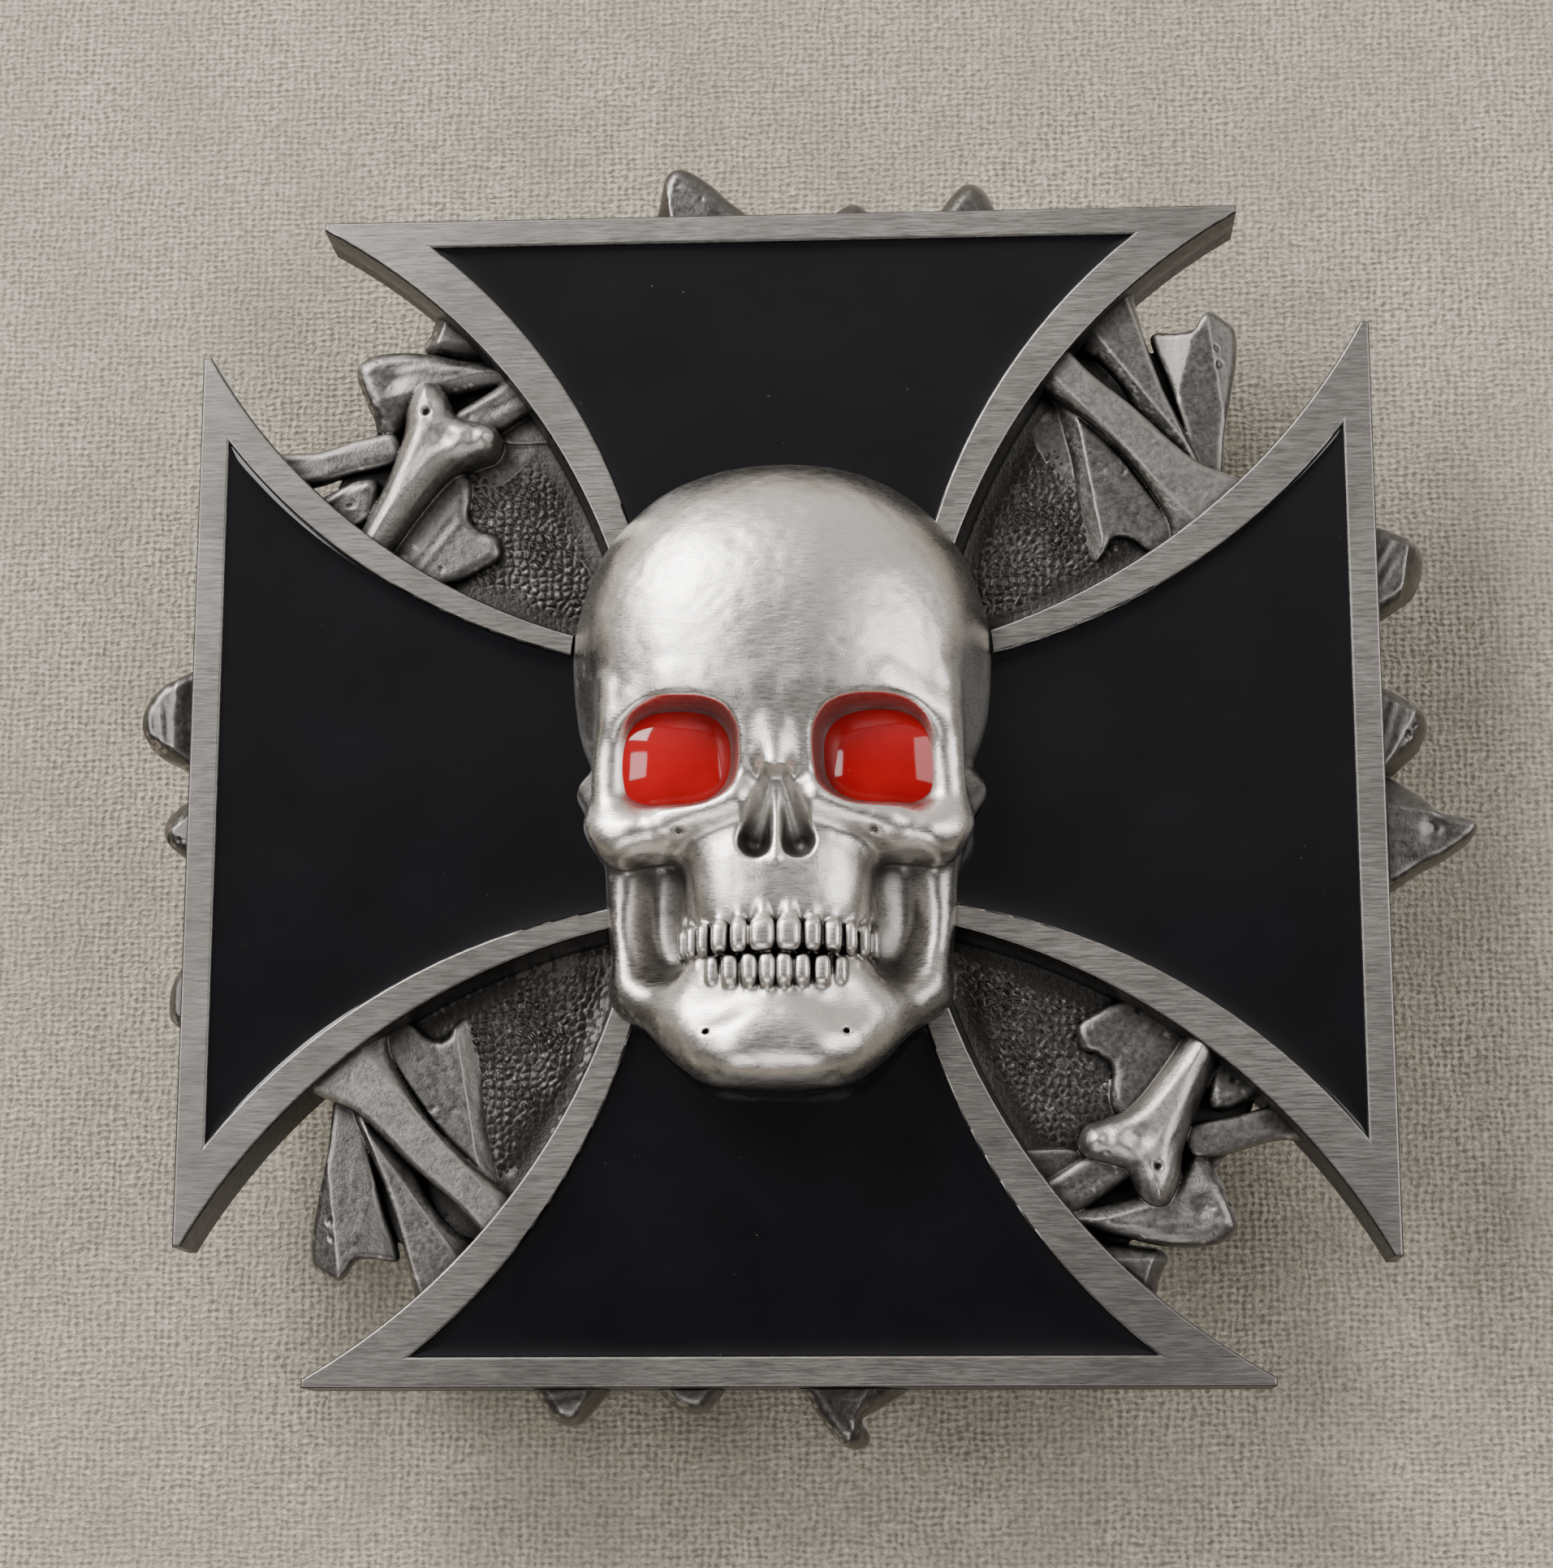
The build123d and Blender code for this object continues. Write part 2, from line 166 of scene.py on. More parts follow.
class Rod:
    """A tapered rod with round ends; deeper stretches its section along h."""

    def __init__(self, start, end, radius, end_radius=None, deeper=1.0):
        self.start, self.way = np.array(start, float), np.subtract(end, start).astype(float)
        self.radius, self.end_radius = radius, radius if end_radius is None else end_radius
        self.deeper = deeper
        widest = max(self.radius, self.end_radius) * np.array([1, 1, deeper])
        self.low, self.high = np.minimum(start, end) - widest, np.maximum(start, end) + widest

    def at(self, place):
        offset = [axis - s for axis, s in zip(place, self.start)]
        along = sum(o * w for o, w in zip(offset, self.way)) / (self.way @ self.way)
        along = np.clip(along, 0, 1)
        dx, dz, dh = [o - along * w for o, w in zip(offset, self.way)]
        level, deep = np.hypot(dx, dz), np.abs(dh) / self.deeper
        away = np.sqrt(level ** 2 + deep ** 2)
        return away - (self.radius + (self.end_radius - self.radius) * along)


RIDGE_LENGTH, LUMP_HEIGHT, PORE_DEPTH = 7.0, 0.02, 0.2


class Plate:
    """A flat bone: a smooth outline with a soft-shouldered top, cut by any sloping facets.

    top is (height, slope along x, slope along z) about the outline's middle; shoulder is the
    (width, drop) of the round-over; a facet is (x, z, direction in degrees, slope); ridges is
    the height of the grain along the bone; a dip is (x, z, reach, depth).
    """

    def __init__(self, outline, top, floor=PLATE_TOP, shoulder=(0.7, 0.3), facets=(), ridges=0.0,
                 corner=0.25, dips=()):
        self.outline = smooth_loop(np.array(outline, float))
        self.middle = self.outline.mean(axis=0)
        self.top, self.floor, self.shoulder, self.corner = top, floor, shoulder, corner
        self.facets, self.dips, self.ridges = facets, dips, ridges
        low, high = self.outline.min(axis=0), self.outline.max(axis=0)
        slope = abs(top[1]) * (high[0] - low[0]) / 2 + abs(top[2]) * (high[1] - low[1]) / 2
        self.low = np.array([low[0], low[1], floor])
        self.high = np.array([high[0], high[1], top[0] + slope])
        spreads, ways = np.linalg.eigh(np.cov((self.outline - self.middle).T))
        self.way = ways[:, np.argmax(spreads)]

    def at(self, place):
        x, z = [axis[..., :1] for axis in place[:2]]  # the same all the way up
        h = place[2]
        edge = outline_distance(self.outline, x, z)
        level = self.top[0] + self.top[1] * (x - self.middle[0])
        level = level + self.top[2] * (z - self.middle[1])
        width, drop = self.shoulder
        level = level - drop * np.clip(1 + edge / width, 0, 1) ** 2
        for fx, fz, direction, slope in self.facets:
            along = (x - fx) * cos(radians(direction)) + (z - fz) * sin(radians(direction))
            level = level - slope * np.maximum(along, 0)
        for fx, fz, reach, depth in self.dips:
            away = np.hypot(x - fx, z - fz) / reach
            level = level - depth * np.exp(-away ** 2)
        upright = np.maximum(h - level, self.floor - h)
        outside = np.hypot(np.maximum(edge + self.corner, 0), np.maximum(upright + self.corner, 0))
        return outside + np.minimum(np.maximum(edge, upright) + self.corner, 0) - self.corner

    def grain(self, place):
        """Slow lumps, fine ridges along the bone and, in patches, open pores."""
        x, z, h = place
        along, aside = x * self.way[0] + z * self.way[1], z * self.way[0] - x * self.way[1]
        ridges = lattice_noise((along / RIDGE_LENGTH, aside, h), seed=21, size=0.45)
        porous = np.clip(3 * lattice_noise(place, seed=23, size=3.4) - 0.8, 0, 1)
        aslant = (x * 0.8 + z * 0.6, z * 0.8 - x * 0.6, h)  # so that no pore comes out square
        pores = lattice_noise(place, seed=22, size=0.6) + lattice_noise(aslant, seed=25, size=0.5)
        pits = PORE_DEPTH * np.clip(pores - 0.7, 0, 1) * porous
        return LUMP_HEIGHT * lattice_noise(place, seed=24, size=1.1) + self.ridges * ridges - pits


def smooth_loop(points, steps=6):
    """A closed curve through the points (Catmull-Rom)."""
    before, after, later = np.roll(points, 1, 0), np.roll(points, -1, 0), np.roll(points, -2, 0)
    curve = []
    for t in np.arange(steps) / steps:
        curve.append(0.5 * (2 * points + (after - before) * t
                            + (2 * before - 5 * points + 4 * after - later) * t ** 2
                            + (3 * points - before - 3 * after + later) * t ** 3))
    return np.stack(curve, axis=1).reshape(-1, 2)


def outline_distance(loop, x, z):
    """Signed distance to a closed outline, negative inside."""
    nearest = np.full(x.shape, 1e9, np.float32)
    inside = np.zeros(x.shape, bool)
    for (ax, az), (bx, bz) in zip(loop, np.roll(loop, -1, axis=0)):
        ex, ez, px, pz = bx - ax, bz - az, x - ax, z - az
        share = np.clip((px * ex + pz * ez) / (ex * ex + ez * ez), 0, 1)
        nearest = np.minimum(nearest, (px - ex * share) ** 2 + (pz - ez * share) ** 2)
        if ez:
            inside ^= ((az > z) != (bz > z)) & (px < ex * pz / ez)
    return np.where(inside, -1, 1) * np.sqrt(nearest)


class Field:
    """A solid as signed distances on a regular grid, negative inside."""

    def __init__(self, low, high, step):
        self.low, self.step = np.array(low, float), step
        self.axes = [np.arange(a, b + step, step) for a, b in zip(low, high)]
        self.value = np.full([len(axis) for axis in self.axes], FAR, np.float32)

    def window(self, shape, blend):
        """The part of the grid that a shape can change, and its coordinates."""
        margin = blend + 4 * self.step
        cut = []
        for axis, low, high in zip(self.axes, shape.low, shape.high):
            first, last = np.searchsorted(axis, (low - margin, high + margin))
            cut.append(slice(first, max(last, first + 1)))
        grid = np.meshgrid(*[axis[part] for axis, part in zip(self.axes, cut)], indexing="ij")
        return tuple(cut), [axis.astype(np.float32) for axis in grid]

    def join(self, shape, blend=0.0):
        cut, place = self.window(shape, blend)
        self.value[cut] = smooth_min(self.value[cut], shape.at(place), blend)

    def cut(self, shape, blend=0.0):
        cut, place = self.window(shape, blend)
        self.value[cut] = -smooth_min(-self.value[cut], shape.at(place), blend)

    def limit(self, function):
        """Keep only where function(x, z, h) is negative."""
        grid = np.meshgrid(*self.axes, indexing="ij", sparse=True)
        self.value = np.maximum(self.value, function(*grid)).astype(np.float32)

    def mesh(self, relief=None):
        """Points and quads; relief(points) moves each point out along its normal."""
        grid = openvdb.FloatGrid(3.0)
        grid.copyFromArray(np.clip(self.value / self.step, -3, 3).astype(np.float32))
        points, quads = grid.convertToQuads(0.0)
        points = points * self.step + self.low
        if relief is not None:
            points = points + point_normals(points, quads) * relief(points.T)[:, None]
        return points, quads


def point_normals(points, quads):
    corner = points[quads]
    face = np.cross(corner[:, 2] - corner[:, 0], corner[:, 3] - corner[:, 1])
    normal = np.zeros_like(points)
    for i in range(4):
        np.add.at(normal, quads[:, i], face)
    return normal / np.maximum(np.linalg.norm(normal, axis=1), 1e-9)[:, None]


# === materials ====================================================================================
class Shader:
    """A node material under construction."""

    def __init__(self, name, metallic=0.0, roughness=0.4):
        self.material = bpy.data.materials.new(name)
        self.material.use_nodes = True
        self.tree = self.material.node_tree
        self.surface = self.tree.nodes["Principled BSDF"]
        self.surface.inputs["Metallic"].default_value = metallic
        self.surface.inputs["Roughness"].default_value = roughness
        self.place = self.add("ShaderNodeTexCoord").outputs["Object"]
        self.bump_chain = None

    def add(self, kind, inputs=None, **settings):
        node = self.tree.nodes.new(kind)
        for key, value in settings.items():
            setattr(node, key, value)
        for key, value in (inputs or {}).items():
            self.feed(node.inputs[key], value)
        return node

    def feed(self, socket, value):
        if isinstance(value, bpy.types.NodeSocket):
            self.tree.links.new(value, socket)
        else:
            socket.default_value = value

    def stretched(self, scale):
        """Coordinates in millimetres times a scale on each axis."""
        per_metre = tuple(1000.0 * s for s in scale)
        node = self.add("ShaderNodeMapping", {"Vector": self.place, "Scale": per_metre})
        return node.outputs["Vector"]

    def noise(self, scale, detail=4.0, rough=0.55):
        node = self.add("ShaderNodeTexNoise", {"Vector": self.stretched(scale), "Scale": 1.0,
                                               "Detail": detail, "Roughness": rough})
        return node.outputs["Fac"]

    def span(self, value, low, high, to_low=0.0, to_high=1.0):
        node = self.add("ShaderNodeMapRange", {"Value": value, "From Min": low, "From Max": high,
                                               "To Min": to_low, "To Max": to_high})
        return node.outputs["Result"]

    def math(self, operation, a, b):
        node = self.add("ShaderNodeMath", operation=operation)
        self.feed(node.inputs[0], a)
        self.feed(node.inputs[1], b)
        return node.outputs[0]

    def mix(self, share, a, b):
        node = self.add("ShaderNodeMix", data_type="RGBA")
        self.feed(node.inputs["Factor"], share)
        self.feed(node.inputs[6], a)
        self.feed(node.inputs[7], b)
        return node.outputs[2]

    def bump(self, height, strength, distance):
        node = self.add("ShaderNodeBump", {"Height": height, "Strength": strength,
                                           "Distance": distance * MM})
        if self.bump_chain is not None:
            self.feed(node.inputs["Normal"], self.bump_chain)
        self.bump_chain = node.outputs["Normal"]
        self.feed(self.surface.inputs["Normal"], self.bump_chain)

    def hollows(self, reach):
        """0 in deep corners, 1 in the open."""
        node = self.add("ShaderNodeAmbientOcclusion", {"Distance": reach * MM}, samples=8)
        return node.outputs["AO"]

    def facing(self, side):
        """1 where the surface faces the front (side -1) or the back (side 1), 0 on the walls."""
        normal = self.add("ShaderNodeNewGeometry").outputs["True Normal"]
        split = self.add("ShaderNodeSeparateXYZ", {"Vector": normal})
        return self.span(split.outputs["Y"], side * 0.75, side * 0.97)

    def height(self):
        """Millimetres in front of the back face."""
        split = self.add("ShaderNodeSeparateXYZ", {"Vector": self.place})
        return self.math("MULTIPLY", split.outputs["Y"], -1.0 / MM)

    def cast_wall(self):
        """The colour of the cast, blackened walls."""
        cast = self.noise((2.2, 2.2, 2.2), detail=5.0, rough=0.6)
        return self.mix(self.span(cast, 0.35, 0.65), grey(0.06, 0.03), grey(0.13, 0.03))


def grey(level, warmth=0.0):
    return (level * (1 + warmth), level, level * (1 - warmth), 1.0)


def pewter(level):
    """A grey with pewter's slight warmth."""
    return grey(min(0.9, level), 0.07)


def antique_metal(name, bright, dark, grain, reach, polish, worn=(9, 10)):
    """Cast pewter: bright on worn edges and between the worn heights, blackened in hollows."""
    s = Shader(name, metallic=1.0)
    fine = s.noise(grain, detail=6.0, rough=0.65)
    patches = s.noise((0.25, 0.25, 0.25), detail=3.0)
    open_air = s.span(s.hollows(reach), 0.35, 0.92)
    wear = s.span(s.add("ShaderNodeNewGeometry").outputs["Pointiness"], 0.5, 0.56)
    toned = s.mix(s.span(fine, 0.32, 0.68), pewter(bright * 0.5), pewter(bright))
    toned = s.mix(s.span(patches, 0.35, 0.7, 0.0, 0.35), toned, pewter(bright * 0.6))
    toned = s.mix(s.span(s.height(), *worn, 0.0, 0.7), toned, pewter(bright * 2.6))
    toned = s.mix(s.math("MULTIPLY", wear, 0.8), toned, pewter(bright * 2.2))
    s.feed(s.surface.inputs["Base Color"], s.mix(open_air, grey(dark), toned))
    rough = s.span(fine, 0.3, 0.7, polish - 0.05, polish + 0.12)
    s.feed(s.surface.inputs["Roughness"], s.math("ADD", rough, s.span(open_air, 0.0, 1.0, 0.25, 0.0)))
    s.bump(fine, 0.4, 0.05)
    s.bump(s.noise((5.0, 5.0, 5.0), detail=5.0), 0.3, 0.05)
    return s.material


def brushed_rim():
    """The cross: rims brushed along the belt on the face, darker cast walls behind them."""
    s = Shader("brushed_rim", metallic=1.0)
    front = s.facing(-1)
    strokes = s.noise((0.6, 4.0, 9.0), detail=6.0, rough=0.75)
    patches = s.noise((0.09, 0.09, 0.09), detail=2.0)
    face = s.mix(s.span(strokes, 0.35, 0.65), grey(0.18, 0.08), grey(0.34, 0.08))
    face = s.mix(s.span(patches, 0.4, 0.65, 0.0, 0.5), face, grey(0.13, 0.07))
    s.feed(s.surface.inputs["Base Color"], s.mix(front, s.cast_wall(), face))
    s.feed(s.surface.inputs["Roughness"], s.span(strokes, 0.3, 0.7, 0.30, 0.44))
    s.surface.inputs["Anisotropic"].default_value = 0.5
    s.bump(strokes, 0.22, 0.03)
    return s.material


def enamel(name, colour, speck):
    """Poured enamel: a deep gloss with a slow ripple and a few specks of dust."""
    s = Shader(name, roughness=0.06)
    dust = s.span(s.noise((2.6, 2.6, 2.6), detail=2.0), 0.775, 0.80)
    depth = s.mix(s.span(s.noise((0.15, 0.15, 0.15)), 0.3, 0.7), colour,
                  tuple(c * 1.5 for c in colour[:3]) + (1.0,))
    s.feed(s.surface.inputs["Base Color"], s.mix(dust, depth, speck))
    s.feed(s.surface.inputs["Roughness"], s.span(dust, 0.0, 1.0, 0.07, 0.5))
    s.bump(s.noise((0.25, 0.25, 0.25), detail=1.0), 0.12, 0.2)
    return s.material


def plated_steel():
    """Nickel-plated wire and fittings with fine scuffs."""
    s = Shader("plated_steel", metallic=1.0)
    scuffs = s.noise((1.6, 1.6, 0.5), detail=4.0, rough=0.5)
    s.feed(s.surface.inputs["Base Color"],
           s.mix(s.span(scuffs, 0.35, 0.65), grey(0.50, 0.01), grey(0.60, 0.01)))
    s.feed(s.surface.inputs["Roughness"], s.span(scuffs, 0.3, 0.7, 0.20, 0.30))
    s.bump(scuffs, 0.05, 0.03)
    return s.material


def cast_back():
    """The plate behind: sand-textured casting, lightly linished."""
    s = Shader("cast_back", metallic=1.0)
    sand = s.noise((4.5, 4.5, 4.5), detail=6.0, rough=0.7)
    lines = s.noise((0.5, 3.0, 9.0), detail=4.0)
    tone = s.mix(s.span(sand, 0.35, 0.65), grey(0.16, 0.02), grey(0.30, 0.02))
    tone = s.mix(s.span(lines, 0.4, 0.7, 0.0, 0.4), tone, grey(0.40, 0.02))
    s.feed(s.surface.inputs["Base Color"], s.mix(s.facing(1), s.cast_wall(), tone))
    s.feed(s.surface.inputs["Roughness"], s.span(sand, 0.3, 0.7, 0.38, 0.60))
    s.bump(sand, 0.35, 0.08)
    return s.material


# === the cross: ground and enamel =================================================================
def side_arc(root, tip, start, span, sagitta):
    """Centre and radius of the circle that an upright arm's right side follows."""
    begin, end = np.array([root, start]), np.array([tip, span])
    chord = end - begin
    length = np.hypot(*chord)
    radius = (length ** 2 / 4 + sagitta ** 2) / (2 * sagitta)
    outwards = np.array([chord[1], -chord[0]]) / length
    return (begin + end) / 2 + outwards * (radius - sagitta), radius


def foot_arc(side):
    """The circle of one arm side where it stands on the plate."""
    tip, root = side
    return side_arc(root + DRAFT_SPREAD, tip, ROOT_START, HALF_SPAN - TIP_FLAT, SIDE_SAGITTA)


def field_half_width(z, side):
    (cx, cz), radius = side_arc(side[1] - RIM_AT_ROOT, FIELD_TIP, ROOT_START, FIELD_SPAN,
                                FIELD_SAGITTA)
    return cx - np.sqrt(np.maximum(radius ** 2 - (z - cz) ** 2, 0))


def sheet_faces(rows, columns):
    """Quads of a closed slab: a top grid, a bottom grid and the four edges between."""
    index = np.arange(rows * columns).reshape(rows, columns)
    a, b, c, d = index[:-1, :-1], index[1:, :-1], index[1:, 1:], index[:-1, 1:]
    top = np.stack([a, d, c, b], axis=-1).reshape(-1, 4)
    under = top[:, ::-1] + rows * columns
    ring = np.concatenate([index[0, :-1], index[:-1, -1], index[-1, :0:-1], index[:0:-1, 0]])
    after = np.roll(ring, -1)
    sides = np.stack([ring, ring + rows * columns, after + rows * columns, after], axis=1)
    return np.concatenate([top, under, sides])


def slab(x, z, top, floor):
    """Points and faces of a slab over a grid of (x, z), with this top and a flat floor."""
    upper = np.stack([x, z, top], axis=-1).reshape(-1, 3)
    lower = upper.copy()
    lower[:, 2] = floor
    return np.concatenate([upper, lower]), sheet_faces(*x.shape)


def turned(points, angle):
    """Points turned anticlockwise about the centre, seen from the front."""
    turn = np.array([[cos(angle), -sin(angle)], [sin(angle), cos(angle)]])
    points = points.copy()
    points[:, :2] = points[:, :2] @ turn.T
    return points


def edge_heavy(count):
    """0..1 with the steps crowded towards both ends."""
    return 0.5 - 0.5 * np.cos(np.linspace(0, pi, count))


FIELD_START = 6.0  # a field's inner end, under the skull
FIELD_MIDDLE = ENAMEL_TOP - 0.10
INTO_WALL = 0.05  # the enamel's edge is tucked this far into the rim
MENISCUS_GAP = 0.08  # and stops this far below the start of the rim's rounding
MENISCUS_REACH = 0.40
SWELL = 0.06
SIDE_LEAN = 0.8  # distance to a leaning side over the level distance to it


def build_enamel(material):
    """Four fields whose surface climbs the rim in a thin meniscus."""
    rise = RIM_TOP - RIM_ROUND - MENISCUS_GAP - FIELD_MIDDLE
    across, up = np.meshgrid(edge_heavy(150) * 2 - 1, edge_heavy(120), indexing="ij")
    z = FIELD_START + (FIELD_SPAN + INTO_WALL - FIELD_START) * up
    for name, (turn, *sides) in ARMS.items():
        left, right = [np.minimum(field_half_width(z, side), z) + INTO_WALL for side in sides]
        x = np.where(across < 0, across * left, across * right)
        to_edge = np.minimum((left + x) * SIDE_LEAN, (right - x) * SIDE_LEAN)
        to_edge = np.maximum(np.minimum(to_edge, FIELD_SPAN - z) - INTO_WALL, 0)
        swell = SWELL * lattice_noise((x + turn, z, x * 0), seed=11, size=9.0)
        meniscus = rise * np.exp(-to_edge / MENISCUS_REACH)
        top = FIELD_MIDDLE + swell * (1 - np.exp(-to_edge)) + meniscus
        points, faces = slab(x, z, top, FIELD_FLOOR)
        make_piece(f"enamel_{name}_fill", turned(points, radians(turn)), faces, material,
                   [f"enamel_{name}"])


GAPS = {  # turn of the gap from the upper right, and the arm sides on either side of it
    "upper_right": (0, ARMS["top"][2], ARMS["right"][1]),
    "upper_left": (90, ARMS["left"][2], ARMS["top"][1]),
    "lower_left": (180, ARMS["bottom"][2], ARMS["left"][1]),
    "lower_right": (270, ARMS["right"][2], ARMS["bottom"][1]),
}


def to_gap_walls(x, z, upper_side, lower_side):
    """Distance from points of an upper right gap to its nearer wall, negative past it."""
    (ux, uz), upper_radius = foot_arc(upper_side)
    (lz, lx), lower_radius = foot_arc(lower_side)
    return np.minimum(upper_radius - np.hypot(x - ux, z - uz),
                      lower_radius - np.hypot(x - lx, z - lz))


GROUND_STEPS = 230
GROUND_FAN = {13.0: 0.12, 18.0: 0.22, WEB_RADIUS: 0.27}  # half angle at each radius
GROUND_LEVEL, GROUND_FLOOR = PLATE_TOP + 0.16, PLATE_TOP - 0.2
PEBBLE_SIZE, PEBBLE_HEIGHT, PEBBLE_GROOVE = 0.62, 0.27, 0.30
GRIT_SIZE, GRIT_HEIGHT, GRIT_GROOVE = 0.34, 0.04, 0.16
FILLET_HEIGHT, FILLET_REACH = 0.15, 0.5
DRIFT_HEIGHT = 0.14


def build_ground(material):
    """Pebbled ground in the four gaps, calm near the walls, one piece to a gap."""
    radii, half_angles = list(GROUND_FAN), list(GROUND_FAN.values())
    r, side = np.meshgrid(np.linspace(radii[0], radii[-1], GROUND_STEPS),
                          np.linspace(-1, 1, GROUND_STEPS), indexing="ij")
    for gap, (name, (turn, upper_side, lower_side)) in enumerate(GAPS.items()):
        angle = pi / 4 + side * np.interp(r, radii, half_angles)
        x, z = r * np.cos(angle), r * np.sin(angle)
        to_wall = to_gap_walls(x, z, upper_side, lower_side)
        near, second = cells(x + 40, z + 40, PEBBLE_SIZE, seed=5 + gap)
        pebble = np.clip((second - near) / PEBBLE_GROOVE, 0, 1) ** 0.7
        near, second = cells(x + 80, z + 80, GRIT_SIZE, seed=15 + gap)
        grit = np.clip((second - near) / GRIT_GROOVE, 0, 1)
        calm = np.clip((to_wall - 0.9) / 1.6, 0.10, 1)
        calm = calm * np.clip((WEB_RADIUS - 1.0 - r) / 6.0, 0.35, 1)
        patches = 0.6 + 0.4 * lattice_noise((x, z, x * 0), seed=9 + gap, size=2.2)
        relief = calm * patches * (PEBBLE_HEIGHT * pebble + GRIT_HEIGHT * grit)
        fillet = FILLET_HEIGHT * np.exp(-np.maximum(to_wall, 0) / FILLET_REACH)
        drift = DRIFT_HEIGHT * lattice_noise((x, z, x * 0), seed=8 + gap, size=4.0)
        points, faces = slab(x, z, GROUND_LEVEL + fillet + drift + relief, GROUND_FLOOR)
        make_piece(f"ground_{name}", turned(points, radians(turn)), faces, material)


# === bones ========================================================================================
FEMUR_PILE = (  # from the metal bed between the bones up to the one laid on top
    Plate([(-31.0, 25.8), (-28.2, 28.6), (-27.4, 30.0), (-23.0, 32.6), (-19.0, 33.6), (-15.0, 29.0),
           (-22.0, 21.0), (-29.0, 19.0), (-33.0, 20.6)], (2.4, 0.0, 0.0), shoulder=(0.5, 0.2)),
    Plate([(-25.4, 36.0), (-23.2, 34.4), (-21.0, 33.0), (-21.5, 31.8), (-25.0, 32.4), (-26.9, 32.8),
           (-26.0, 34.6)], (3.3, 0.0, 0.0), facets=[(-25.0, 34.0, 160, 0.9), (-24, 33.4, 270, 0.6)]),
    Plate([(-21.0, 27.6), (-15.4, 29.6), (-14.6, 26.0), (-17.0, 25.7), (-20.4, 25.8)],
          (2.75, 0.0, 0.0), shoulder=(0.4, 0.15), ridges=0.01),
    Plate([(-37.4, 25.0), (-33.7, 25.3), (-30.8, 26.1), (-28.2, 26.4), (-27.8, 24.4),
           (-31.4, 23.5), (-35.4, 22.6)], (3.5, 0.05, 0.05), ridges=0.035),
    Plate([(-35.0, 20.6), (-31.6, 22.7), (-29.4, 22.9), (-29.6, 19.8), (-33.0, 17.6)],
          (3.6, 0.05, 0.1), shoulder=(0.9, 0.6), ridges=0.07),
    Plate([(-26.0, 24.6), (-23.4, 23.9), (-22.6, 22.4), (-22.8, 20.3), (-21.9, 19.2),
           (-20.6, 18.7), (-20.5, 17.2), (-21.9, 16.2), (-24.0, 15.2), (-29.0, 13.6),
           (-31.0, 17.0)], (3.15, 0.02, -0.02), shoulder=(0.8, 0.3), ridges=0.02,
          facets=[(-22.6, 21.0, 30, 0.25)]),
    Plate([(-24.2, 27.4), (-21.6, 29.3), (-17.6, 31.8), (-15.6, 29.8), (-19.4, 27.2),
           (-20.8, 26.4), (-22.6, 26.0)], (4.0, -0.02, -0.05), shoulder=(0.8, 0.35), ridges=0.07),
    Plate([(-17.8, 31.6), (-20.6, 31.4), (-23.6, 31.9), (-26.6, 32.5), (-29.4, 32.4),
           (-30.9, 31.6), (-31.0, 30.4), (-30.4, 29.0), (-29.8, 27.6), (-29.4, 26.5),
           (-28.1, 26.1), (-27.2, 27.2), (-26.2, 28.4), (-23.9, 29.2), (-21.0, 29.9),
           (-17.6, 29.6)], (4.3, 0.0, 0.0), shoulder=(1.1, 0.55), ridges=0.045,
          facets=[(-30.0, 29.0, 200, 0.8), (-24.6, 30.0, 285, 0.35)], dips=[(-28.4, 30.2, 0.9, 0.3)]),
    Plate([(-33.4, 15.2), (-30.6, 18.9), (-28.8, 22.4), (-27.5, 25.8), (-27.2, 28.0),
           (-26.4, 29.6), (-25.4, 29.9), (-24.3, 28.9), (-23.6, 27.4), (-22.2, 26.9),
           (-20.9, 26.5), (-20.3, 25.6), (-20.8, 24.4), (-22.0, 23.9), (-24.0, 23.0),
           (-26.2, 20.4), (-28.5, 17.0), (-30.2, 14.0)], (5.7, 0.06, 0.06),
          shoulder=(1.6, 1.3), ridges=0.03, corner=0.5,
          dips=[(-25.6, 27.3, 0.25, 0.5), (-24.4, 25.4, 0.8, 0.35), (-22.2, 25.4, 0.5, 0.2)]),
)
